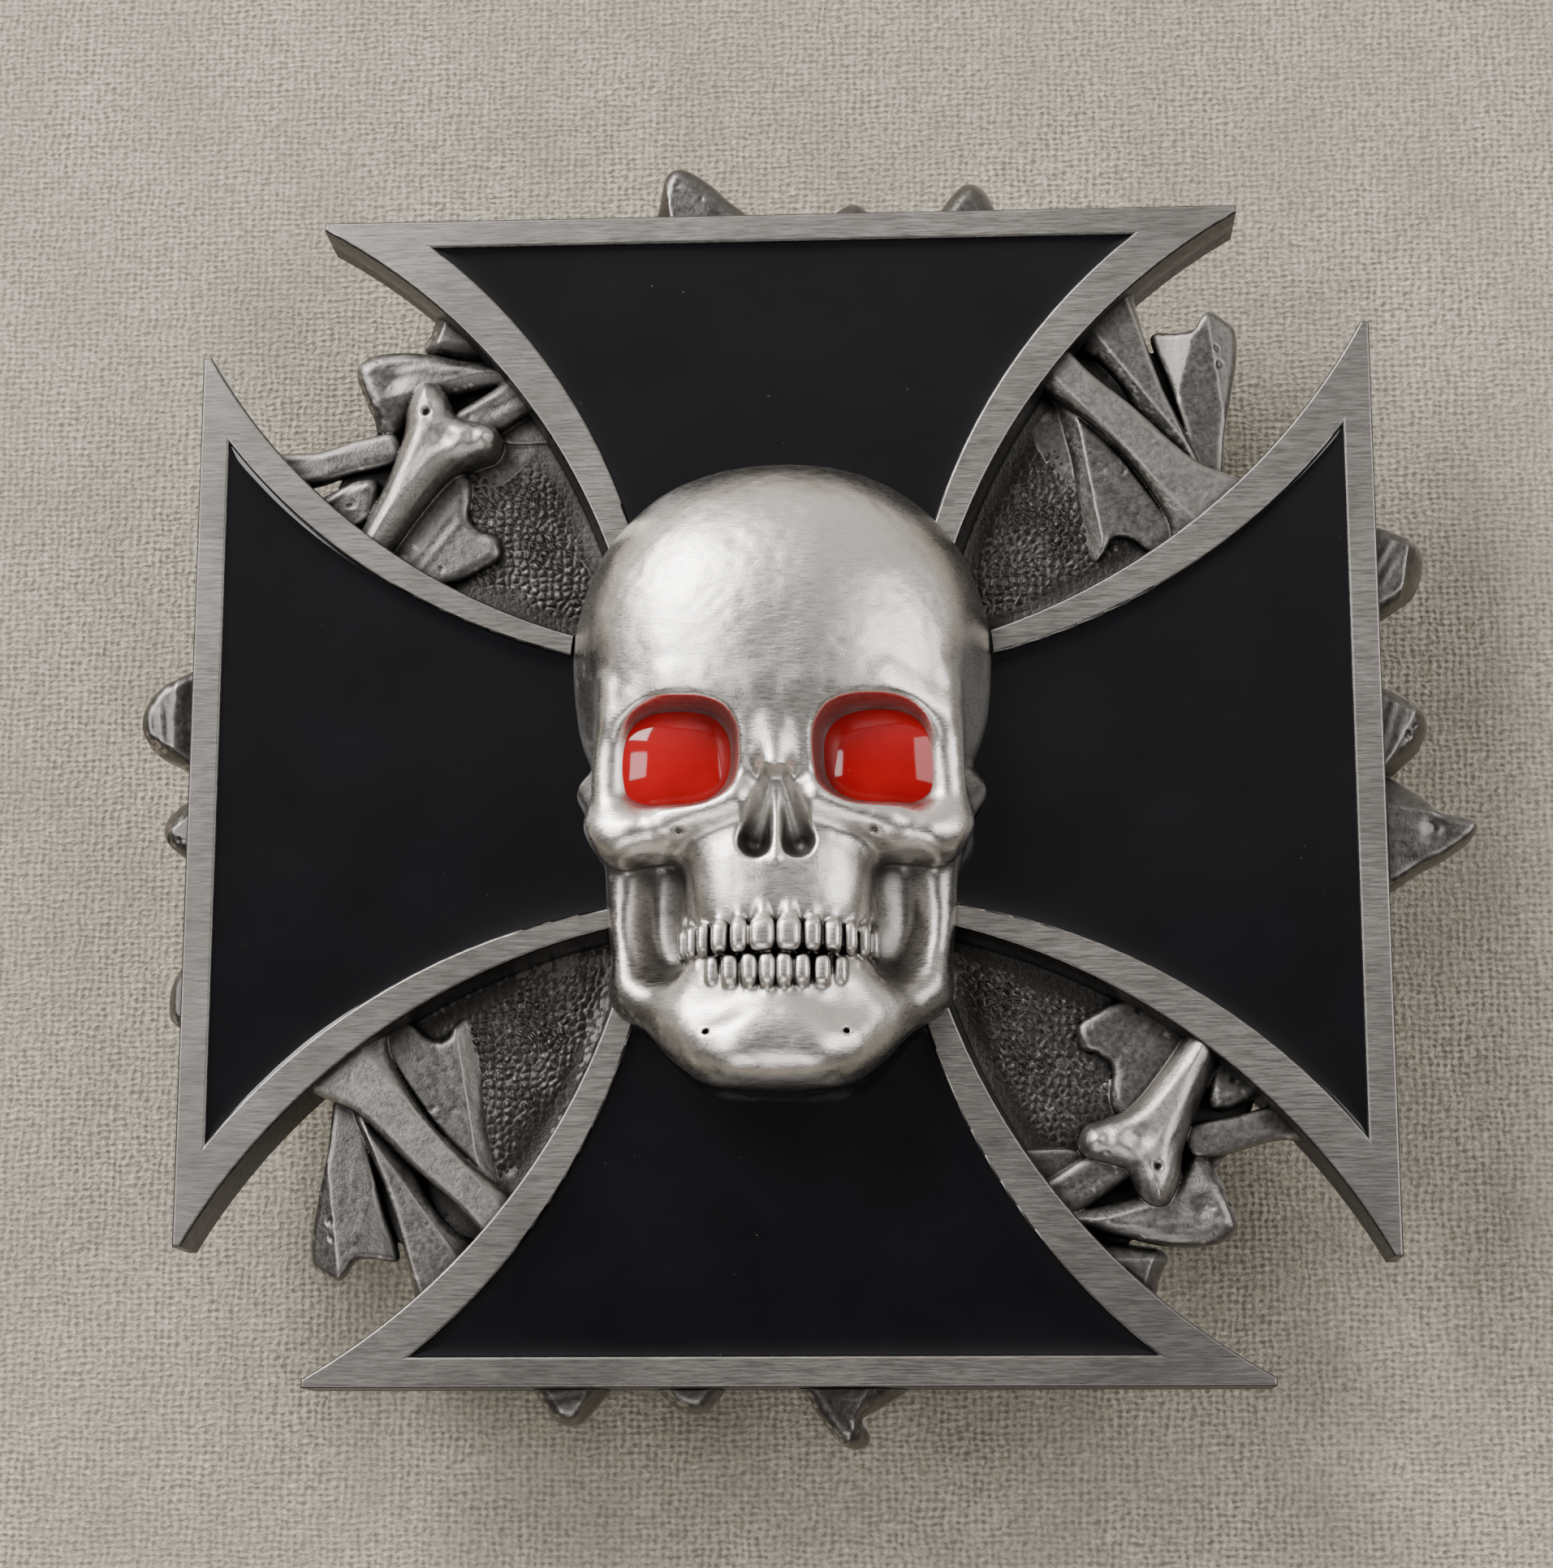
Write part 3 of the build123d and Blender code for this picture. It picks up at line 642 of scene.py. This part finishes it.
BROKEN_PILE = (
    Plate([(18.6, 33.8), (21.6, 33.2), (25.4, 32.6), (28.0, 31.2), (30.4, 28.4), (31.6, 22.4),
           (30.0, 16.4), (20.0, 22.0), (16.6, 29.6)], (2.4, 0.0, 0.0), shoulder=(0.5, 0.2)),
    Plate([(26.6, 33.0), (28.4, 33.1), (29.6, 33.2), (30.3, 34.2), (31.0, 34.6), (31.9, 34.1),
           (32.7, 33.5), (32.8, 31.6), (32.3, 28.4), (31.7, 25.4), (31.2, 21.0), (29.4, 21.4),
           (28.9, 25.2), (27.8, 29.4)], (3.7, 0.0, 0.05), shoulder=(0.5, 0.2), corner=0.15,
          facets=[(31.4, 28.6, 8, 0.55), (28.6, 29.0, 165, 0.35)], ridges=0.015),
    Plate([(20.0, 33.4), (22.4, 36.6), (24.9, 37.6), (25.5, 35.4), (26.3, 32.0), (27.4, 28.6),
           (28.9, 25.4), (30.4, 21.6), (28.4, 22.6), (25.6, 26.6), (24.6, 29.0), (22.8, 31.2),
           (20.8, 32.0)], (4.1, 0.0, 0.0), shoulder=(0.45, 0.2), corner=0.15,
          facets=[(24.2, 30.8, 217, 0.75), (27.0, 29.6, 20, 0.9)], ridges=0.015),
    Plate([(18.6, 29.6), (19.7, 26.6), (20.7, 23.8), (20.8, 21.4), (20.7, 19.0), (21.2, 17.2),
           (22.2, 16.2), (23.0, 16.9), (23.7, 17.9), (25.0, 17.7), (26.6, 16.6), (28.6, 17.6),
           (27.2, 20.2), (25.4, 22.8), (22.4, 26.0)], (3.4, 0.0, 0.0), shoulder=(0.6, 0.25),
          corner=0.15, facets=[(21.9, 23.0, 190, 0.8), (25.8, 21.4, 35, 0.6)], ridges=0.02),
    Plate([(18.0, 34.0), (22.2, 29.8), (25.2, 27.2), (29.4, 23.2), (33.6, 20.8), (32.2, 16.4),
           (28.0, 16.2), (27.6, 18.7), (26.2, 21.4), (24.4, 23.9), (21.8, 26.5), (18.2, 29.4),
           (15.6, 31.8)], (4.7, 0.0, 0.0), shoulder=(0.55, 0.25), corner=0.2,
          facets=[(22.6, 26.2, 222, 0.5)], ridges=0.012),
)
EDGE_FLOOR = 0.6


def edge_bone(outline, top, shoulder, facets=(), ridges=0.0, dips=()):
    """A bone end that stands out of an arm's flat end."""
    return Plate(outline, top, EDGE_FLOOR, shoulder, facets, ridges, dips=dips)


EDGE_BONES = {  # outlines along each flat end, seen with that arm upright
    "top": (
        edge_bone([(-9.8, 41.0), (-9.2, 43.6), (-8.6, 45.9), (-7.6, 46.5), (-6.2, 45.9), (-4.0, 43.9),
                   (-1.6, 41.0)], (4.1, 0.0, -0.1), (1.0, 0.6), [(-8.4, 44.0, 190, 1.2)], 0.02),
        edge_bone([(2.6, 41.0), (3.6, 43.0), (5.0, 43.9), (6.2, 43.3), (7.6, 41.0)],
                  (3.4, 0.0, -0.2), (1.2, 1.0)),
        edge_bone([(10.8, 41.0), (11.8, 43.6), (13.2, 45.1), (14.5, 44.9), (15.4, 43.4), (15.8, 41.0)],
                  (3.9, 0.0, -0.15), (1.4, 1.2), [(12.4, 43.6, 150, 0.5)]),
    ),
    "left": (
        edge_bone([(1.0, 41.0), (2.2, 43.4), (3.0, 45.0), (4.4, 45.9), (6.0, 45.9), (7.3, 45.1),
                   (8.2, 43.8), (8.8, 41.0)], (4.0, 0.0, -0.1), (0.9, 0.6),
                  [(4.0, 43.4, 270, 0.35), (3.4, 44.0, 150, 0.6)], 0.04),
        edge_bone([(-5.0, 41.0), (-4.2, 43.2), (-3.2, 44.2), (-2.0, 44.3), (-0.8, 43.4), (0.0, 41.0)],
                  (3.6, 0.0, -0.15), (1.0, 0.8), [(-2.4, 43.0, 40, 0.6)], 0.05),
        edge_bone([(-17.2, 41.0), (-16.4, 43.2), (-15.2, 43.6), (-13.8, 43.4), (-12.6, 42.6),
                   (-11.8, 41.0)], (3.4, 0.0, -0.2), (0.8, 0.6), [(-14.6, 42.8, 90, 0.8)]),
    ),
    "bottom": (
        edge_bone([(-9.2, 41.0), (-7.2, 42.9), (-6.2, 43.5), (-5.3, 44.1), (-5.8, 45.0), (-5.7, 45.7),
                   (-4.9, 46.1), (-3.8, 45.6), (-2.8, 44.4), (-1.8, 42.8), (-1.0, 41.0)],
                  (4.0, 0.0, -0.15), (0.9, 0.6), [(-5.0, 44.0, 160, 0.7)], 0.04),
        edge_bone([(4.0, 41.0), (4.9, 43.1), (5.9, 43.7), (7.2, 43.4), (8.2, 42.6), (9.2, 41.0)],
                  (3.4, 0.0, -0.2), (1.0, 0.8), [(7.4, 42.6, 30, 0.6)]),
        edge_bone([(11.8, 41.0), (13.1, 43.4), (14.2, 44.4), (15.4, 44.3), (16.3, 43.4), (17.2, 41.0)],
                  (3.7, 0.0, -0.2), (1.0, 0.9), [(13.8, 43.2, 160, 0.5)], 0.03),
    ),
    "right": (
        edge_bone([(-0.4, 41.0), (1.0, 44.4), (2.4, 45.8), (2.8, 47.3), (3.2, 48.4), (4.1, 48.2),
                   (5.2, 46.8), (6.3, 44.8), (7.7, 41.0)], (4.2, 0.0, -0.08), (0.6, 0.4),
                  [(2.6, 45.0, 170, 0.6)], 0.03, dips=[(3.8, 45.4, 0.7, 0.3)]),
        edge_bone([(-6.4, 41.0), (-5.6, 44.4), (-4.2, 45.4), (-2.9, 45.1), (-1.7, 44.2), (0.2, 41.0)],
                  (3.8, 0.0, -0.1), (1.0, 0.8), [(-3.6, 43.8, 60, 0.5)], 0.03),
        edge_bone([(-18.0, 41.0), (-17.4, 44.8), (-16.4, 45.7), (-14.8, 45.4), (-13.2, 44.4),
                   (-11.8, 41.0)], (3.9, 0.0, -0.1), (0.9, 0.7), [(-15.8, 44.2, 80, 0.9)], 0.03),
    ),
}
BONE_STEP = 0.11
PILE_TUCK = 0.5  # how far a pile runs into the walls on either side
END_TUCK = 0.05  # how far a bone end runs into the arm
END_MARGIN = 0.4


def bone_mesh(bones, low, high, limits):
    """Bones laid over each other without melting, each with its own grain."""
    f = Field(low, high, BONE_STEP)
    for one in bones:
        f.join(one)
    for limit in limits:
        f.limit(limit)

    def relief(place):
        columns = [axis[:, None] for axis in place]
        nearest = np.argmin([np.abs(one.at(columns))[:, 0] for one in bones], axis=0)
        return np.choose(nearest, [one.grain(place) for one in bones])

    return f.mesh(relief)


def build_bones(material):
    """Two piles, each used twice: upright and turned half round."""
    piles = (
        (FEMUR_PILE, (-38.0, 13.0, 1.8), (-14.0, 37.5, 6.9), -1, "upper_left", "lower_right"),
        (BROKEN_PILE, (15.0, 15.5, 1.8), (34.5, 38.5, 5.9), 1, "upper_right", "lower_left"),
    )
    for bones, low, high, mirror, upper_gap, lower_gap in piles:
        for gap, half_turns in ((upper_gap, 0), (lower_gap, 1)):
            turn, upper_side, lower_side = GAPS[gap]
            if turn % 180:  # this gap's sides swap over when it is mirrored to the upper right
                upper_side, lower_side = lower_side, upper_side

            def past_walls(x, z, h):
                return -PILE_TUCK - to_gap_walls(mirror * x, z, upper_side, lower_side) + 0 * h

            points, faces = bone_mesh(bones, low, high, [past_walls])
            make_piece(f"bone_pile_{gap}", turned(points, half_turns * pi), faces, material,
                       [f"bones_{gap}"])


def build_bone_ends(material):
    """The ends of bones that stick out past each flat end."""
    for name, bones in EDGE_BONES.items():
        low = np.min([one.low for one in bones], axis=0) - END_MARGIN
        high = np.max([one.high for one in bones], axis=0) + END_MARGIN
        low[1] = HALF_SPAN - END_MARGIN

        def past_end(x, z, h):
            return HALF_SPAN - END_TUCK - z + 0 * (x + h)

        points, faces = bone_mesh(bones, low, high, [past_end])
        make_piece(f"bone_tips_{name}", turned(points, radians(ARMS[name][0])), faces, material,
                   [f"bone_ends_{name}"])


# === skull: textbook proportions of a human skull, in its own millimetres times a scale ===========
SCALE = SKULL_HEIGHT / 210.0
NASION = SKULL_TOP - 90.0 * SCALE
ORBIT_X, ORBIT_Z = 32.0 * SCALE, NASION - 15.0 * SCALE
ORBIT_W, ORBIT_H = 20.0 * SCALE, 17.5 * SCALE
NOSE_TOP, NOSE_BOTTOM = NASION - 22.0 * SCALE, NASION - 50.0 * SCALE
GUM_TOP, BITE, GUM_LOW = NASION - 70.0 * SCALE, NASION - 80.0 * SCALE, NASION - 90.0 * SCALE
CHIN = NASION - 120.0 * SCALE
CHEEK, JAW, BRAINCASE = 65.0 * SCALE, 50.0 * SCALE, 70.0 * SCALE


def both_sides(apply, blend, make):
    """Join or cut a shape on the left (side -1) and on the right (side 1)."""
    for side in (-1, 1):
        apply(make(side), blend)


def skull_masses(f):
    """Braincase, brow, cheekbones, upper jaw and lower jaw, melted together."""
    # braincase, and the wide block that the face is built on
    crown, deep = SKULL_TOP - BRAINCASE, SKULL_FRONT - 4.2
    f.join(Ellipsoid((0, crown, 4.0), (BRAINCASE - 0.2, BRAINCASE - 0.1, deep), 2.2))
    f.join(Ellipsoid((0, -7.0, 3.4), (CHEEK - 3.2, 12.4, 3.2), 2.6), 1.0)
    # brow: a low arch over each socket, with the nasal bones between the two
    brow = ORBIT_Z + ORBIT_H + 0.6
    both_sides(f.join, 1.6, lambda s: Rod((s * 1.6, brow - 0.1, 12.2), (s * ORBIT_X, brow + 0.5, 11.6),
                                          1.3, 1.2))
    both_sides(f.join, 1.4, lambda s: Rod((s * ORBIT_X, brow + 0.5, 11.6),
                                          (s * 11.2, brow - 1.5, 10.2), 1.2, 1.1))
    f.join(Rod((0, NASION, 11.9), (0, NOSE_TOP, 13.3), 1.5, 1.0), 1.0)
    # outer edges of the sockets, cheekbones, their arches to the temples, lower socket edges
    both_sides(f.join, 1.2, lambda s: Rod((s * 11.6, ORBIT_Z - 4.4, 9.4),
                                          (s * 11.7, NASION + 1.6, 9.6), 1.35, 1.15))
    both_sides(f.join, 1.4, lambda s: Ellipsoid((s * 9.8, ORBIT_Z - 5.4, 9.0), (3.6, 2.2, 3.1)))
    both_sides(f.join, 1.2, lambda s: Rod((s * 11.0, ORBIT_Z - 4.8, 9.0),
                                          (s * (CHEEK - 0.9), ORBIT_Z - 1.6, 5.6), 1.6, 1.3))
    both_sides(f.join, 1.2, lambda s: Rod((s * 2.8, ORBIT_Z - 3.2, 12.0),
                                          (s * 7.4, ORBIT_Z - 4.6, 11.2), 1.3, 1.2))
    # upper jaw, then the lower jaw's upright branches and its body
    f.join(Ellipsoid((0, NOSE_BOTTOM - 1.0, 7.8), (6.5, 6.0, 4.9), 2.6), 1.4)
    both_sides(f.join, 1.4, lambda s: Rod((s * (JAW + 0.4), ORBIT_Z - 5.0, 4.6),
                                          (s * (JAW - 1.0), BITE - 1.6, 5.8), 1.5, 1.7))
    both_sides(f.join, 1.6, lambda s: Rod((s * (JAW - 1.0), BITE - 1.6, 5.8),
                                          (s * 4.2, CHIN + 2.8, 9.6), 1.8, 2.5))
    # front of the lower jaw, and a chin with a low knob on either side
    f.join(Ellipsoid((0, BITE - 3.4, 7.2), (7.4, 5.2, 4.9), 2.6), 1.6)
    f.join(Ellipsoid((0, CHIN + 2.9, 10.4), (4.6, 2.8, 2.9), 2.4), 1.6)
    both_sides(f.join, 1.0, lambda s: Ellipsoid((s * 2.5, CHIN + 2.0, 11.6), (1.6, 1.2, 1.2)))


def skull_hollows(f):
    """Temples, cheeks, eye sockets and the opening of the nose."""
    # temples, below the cheekbones, behind them, and over the chin
    both_sides(f.cut, 1.8, lambda s: Ellipsoid((s * 16.3, NASION + 1.8, 11.0), (3.3, 5.8, 4.6)))
    both_sides(f.cut, 1.4, lambda s: Ellipsoid((s * 8.9, NOSE_BOTTOM - 3.6, 11.2), (2.2, 4.0, 5.4)))
    both_sides(f.cut, 1.0, lambda s: Ellipsoid((s * 14.8, NOSE_BOTTOM - 0.6, 8.6), (2.2, 3.2, 3.4)))
    both_sides(f.cut, 1.2, lambda s: Ellipsoid((s * 5.4, CHIN + 5.2, 13.6), (2.6, 1.5, 1.8)))
    # sockets, the nerve openings below them and in the lower jaw, and the nose with its septum
    both_sides(f.cut, 0.5, lambda s: Ellipsoid((s * ORBIT_X, ORBIT_Z, 13.4),
                                               (ORBIT_W, ORBIT_H, 4.4), 2.6))
    both_sides(f.cut, 0.15, lambda s: Ellipsoid((s * (ORBIT_X - 0.2), ORBIT_Z - ORBIT_H - 1.7, 12.4),
                                                (0.32, 0.24, 0.9)))
    both_sides(f.cut, 0.15, lambda s: Ellipsoid((s * 22.0 * SCALE, (GUM_LOW + CHIN) / 2, 11.6),
                                                (0.28, 0.24, 0.9)))
    both_sides(f.cut, 0.35, lambda s: Rod((s * 0.35, NOSE_TOP - 0.6, 13.6),
                                          (s * 1.45, NOSE_BOTTOM + 1.3, 13.2), 0.75, 1.25,
                                          deeper=2.2))
    f.join(Rod((0, NOSE_TOP - 2.0, 10.8), (0, NOSE_BOTTOM, 12.4), 0.3, 0.45), 0.3)


UPPER_TEETH = (8.5, 6.5, 7.5, 7.0, 7.0, 10.0)  # crown widths from the middle outwards
LOWER_TEETH = (5.5, 6.0, 7.0, 7.0, 7.0, 11.0)


def tooth_row(f, widths, gum, bite, reach, front, depth):
    """Teeth stepped by their crown widths round an elliptical arch, with swelling roots."""
    middle, tall = (gum + bite) / 2, abs(gum - bite) / 2 + 0.12
    for side in (-1, 1):
        angle = 0.0
        for width in widths:
            wide = width * SCALE
            pace = np.hypot(reach * cos(angle), depth * sin(angle))
            halfway = angle + wide / 2 / pace
            x, h = side * reach * sin(halfway), front - depth * (1 - cos(halfway))
            f.join(Ellipsoid((x, middle, h), (wide * 0.49 * max(cos(halfway), 0.6), tall, 0.95), 3.4),
                   0.05)
            root = gum + (gum - bite) * 1.1
            f.join(Rod((x, gum, h - 0.15), (x * 0.98, root, h - 0.7), wide * 0.30, 0.28), 0.35)
            angle = halfway + wide / 2 / pace


def build_skull(metal, eye_material):
    """The relief, its teeth, its pegs into the plate and the red enamel in its sockets."""
    f = Field((-16.0, CHIN - 1.0, 0.0), (16.0, SKULL_TOP + 1.0, SKULL_FRONT + 1.5), 0.15)
    skull_masses(f)
    skull_hollows(f)
    tooth_row(f, UPPER_TEETH, GUM_TOP, BITE + 0.1, 6.4, 12.7, 5.4)
    tooth_row(f, LOWER_TEETH, GUM_LOW, BITE - 0.1, 6.1, 12.3, 5.2)
    # the gap between the two rows of teeth, deeper towards the cheeks
    both_sides(f.cut, 0.1, lambda s: Rod((0, BITE, 13.2), (s * 5.4, BITE, 11.2), 0.16, 0.16))
    both_sides(f.cut, 0.2, lambda s: Rod((s * 2.9, BITE, 12.9), (s * 6.6, BITE, 10.2), 0.16, 0.20))
    f.limit(lambda x, z, h: PLATE_TOP - h + 0 * (x + z))
    for z in (PEG_HEIGHT, -PEG_HEIGHT):
        f.join(Rod((0, z, PEG_END + PEG_RADIUS), (0, z, FIELD_FLOOR), PEG_RADIUS))

    def relief(place):
        return 0.07 * lattice_noise(place, 31, 2.6) + 0.02 * lattice_noise(place, 32, 0.7)

    points, faces = f.mesh(relief)
    make_piece("skull_relief", points, faces, metal, ["skull"])
    for name, side in (("left", -1), ("right", 1)):
        build_eye(name, side, eye_material)


def build_eye(name, side, material):
    """Red enamel poured in a socket: a domed disc with the socket's squared outline."""
    spokes, rings, squareness = 96, 26, 2.6
    edge, dome, back, overlap = 10.2, 1.0, 9.4, 1.02
    points = [(side * ORBIT_X, ORBIT_Z, edge + dome)]
    for i in range(spokes):
        angle = 2 * pi * i / spokes
        grow = (abs(cos(angle)) ** squareness + abs(sin(angle)) ** squareness) ** (-1 / squareness)
        for out in np.linspace(0, overlap, rings + 1)[1:]:
            points.append((side * ORBIT_X + ORBIT_W * grow * out * cos(angle),
                           ORBIT_Z + ORBIT_H * grow * out * sin(angle),
                           edge + dome * (1 - out ** 2.4)))
    points.append((side * ORBIT_X, ORBIT_Z, back))
    faces = []
    for i in range(spokes):
        a, b = 1 + i * rings, 1 + (i + 1) % spokes * rings
        faces.append((0, a, b))
        faces += [(a + k, a + k + 1, b + k + 1, b + k) for k in range(rings - 1)]
        faces.append((len(points) - 1, b + rings - 1, a + rings - 1))
    make_piece(f"eye_fill_{name}", points, faces, material, [f"eye_enamel_{name}"])


# === CAD nodes that stay: only their materials change =============================================
def dress_cad(materials):
    """Give each CAD node named here its material."""
    for node, material in materials.items():
        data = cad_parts[node].data
        data.materials.clear()
        data.materials.append(material)


# === stage, lights and camera =====================================================================
def build_stage():
    """Woven cloth behind the buckle that lets light and the rear views through."""
    s = Shader("woven_cloth", roughness=0.9)
    wander = s.span(s.noise((0.5, 0.5, 0.5), detail=4.0), 0.0, 1.0, -6.0, 6.0)
    threads = s.add("ShaderNodeSeparateXYZ", {"Vector": s.stretched((11.0, 1.0, 13.0))})
    warp, weft = [s.math("SINE", s.math("ADD", threads.outputs[axis], wander), 0.0) for axis in "XZ"]
    tuft = s.span(s.noise((2.6, 2.6, 3.4), detail=4.0, rough=0.6), 0.3, 0.7, -2.6, 2.6)
    worn = s.span(s.noise((0.12, 0.12, 0.09), detail=3.0), 0.35, 0.65, 0.0, 0.45)
    weave = s.span(s.math("ADD", s.math("ADD", warp, weft), tuft), -3.2, 3.2)
    threads_tone = s.mix(weave, (0.19, 0.160, 0.12, 1), (0.82, 0.745, 0.60, 1))
    s.feed(s.surface.inputs["Base Color"], s.mix(worn, threads_tone, (0.36, 0.31, 0.25, 1)))
    s.bump(weave, 0.8, 0.25)
    path = s.add("ShaderNodeLightPath")
    behind = s.add("ShaderNodeNewGeometry").outputs["Backfacing"]
    clear = s.add("ShaderNodeBsdfTransparent")
    pick = s.add("ShaderNodeMixShader")
    s.feed(pick.inputs[0], s.math("MAXIMUM", behind, path.outputs["Is Shadow Ray"]))
    s.feed(pick.inputs[1], s.surface.outputs[0])
    s.feed(pick.inputs[2], clear.outputs[0])
    s.feed(s.tree.nodes["Material Output"].inputs["Surface"], pick.outputs[0])
    behind_all, half = 9.5 * MM, 0.9
    mesh = bpy.data.meshes.new("backdrop")
    corners = [(x * half, behind_all, z * half) for x, z in ((-1, -1), (1, -1), (1, 1), (-1, 1))]
    mesh.from_pydata(corners, [], [(0, 1, 2, 3)])
    mesh.materials.append(s.material)
    sheet = bpy.data.objects.new("backdrop", mesh)
    bpy.context.scene.collection.objects.link(sheet)


def area_light(name, place, size, power):
    """A square light that faces the centre."""
    data = bpy.data.lights.new(name, "AREA")
    data.size = size
    data.energy = power
    light = bpy.data.objects.new(name, data)
    light.location = place
    light.rotation_euler = (-Vector(place)).to_track_quat("-Z", "Y").to_euler()
    bpy.context.scene.collection.objects.link(light)


def build_lights():
    """A window high on the left, softer light round it and one lamp for the back."""
    area_light("window", (-0.34, -0.36, 0.38), 0.30, 4.6)
    area_light("fill", (0.48, -0.44, 0.08), 0.40, 2.0)
    area_light("left", (-0.46, -0.60, 0.06), 0.24, 1.5)
    area_light("low", (-0.05, -0.35, -0.45), 0.30, 0.8)
    area_light("rear", (0.30, 0.50, 0.35), 0.40, 4.0)


def build_room():
    """Soft surroundings, brighter above than below."""
    world = bpy.data.worlds.new("room")
    world.use_nodes = True
    tree = world.node_tree
    way = tree.nodes.new("ShaderNodeTexCoord")
    split = tree.nodes.new("ShaderNodeSeparateXYZ")
    ramp = tree.nodes.new("ShaderNodeValToRGB")
    lift = tree.nodes.new("ShaderNodeMapRange")
    lift.inputs["From Min"].default_value = -1.0
    tree.links.new(way.outputs["Generated"], split.inputs["Vector"])
    tree.links.new(split.outputs["Z"], lift.inputs["Value"])
    tree.links.new(lift.outputs["Result"], ramp.inputs["Fac"])
    tree.links.new(ramp.outputs["Color"], tree.nodes["Background"].inputs["Color"])
    ramp.color_ramp.elements[0].color = (0.10, 0.097, 0.092, 1)
    ramp.color_ramp.elements[1].color = (0.85, 0.84, 0.82, 1)
    for place, level in ((0.50, 0.10), (0.53, 0.07), (0.60, 0.20), (0.68, 0.34)):
        ramp.color_ramp.elements.new(place).color = grey(level, 0.02)
    bpy.context.scene.world = world


def build_camera():
    """Slightly to the right of the buckle and below it, looking up at it."""
    azimuth, elevation, distance = radians(3.16), radians(-12.16), 0.2443
    aim = Vector((-0.00034, -RIM_TOP * MM, -0.00035))
    away = Vector((sin(azimuth) * cos(elevation), -cos(azimuth) * cos(elevation), sin(elevation)))
    data = bpy.data.cameras.new("camera")
    data.lens, data.sensor_width = 80.1, 36.0
    camera = bpy.data.objects.new("camera", data)
    camera.location = aim + away * distance
    camera.rotation_euler = (-away).to_track_quat("-Z", "Y").to_euler()
    bpy.context.scene.collection.objects.link(camera)
    bpy.context.scene.camera = camera


bone_metal = antique_metal("bone_metal", 0.21, 0.010, (2.5, 2.5, 2.5), reach=1.8, polish=0.36,
                           worn=(4.0, 5.6))
skull_metal = antique_metal("skull_metal", 0.52, 0.010, (1.0, 3.0, 9.0), reach=2.4, polish=0.27)
end_metal = antique_metal("end_metal", 0.17, 0.008, (2.0, 2.0, 2.0), reach=2.2, polish=0.30)
ground_metal = antique_metal("ground_metal", 0.06, 0.005, (5.0, 5.0, 5.0), reach=0.7, polish=0.34)
black_enamel = enamel("black_enamel", (0.004, 0.004, 0.005, 1.0), (0.12, 0.12, 0.12, 1.0))
red_enamel = enamel("red_enamel", (0.32, 0.004, 0.006, 1.0), (0.40, 0.05, 0.05, 1.0))
steel = plated_steel()

dress_cad({"base_plate": cast_back(), "cross_frame": brushed_rim(), "belt_loop": steel,
           "bail_lug_upper": steel, "bail_lug_lower": steel, "belt_stud": steel})
build_ground(ground_metal)
build_enamel(black_enamel)
build_bones(bone_metal)
build_bone_ends(end_metal)
build_skull(skull_metal, red_enamel)
build_stage()
build_lights()
build_room()
build_camera()
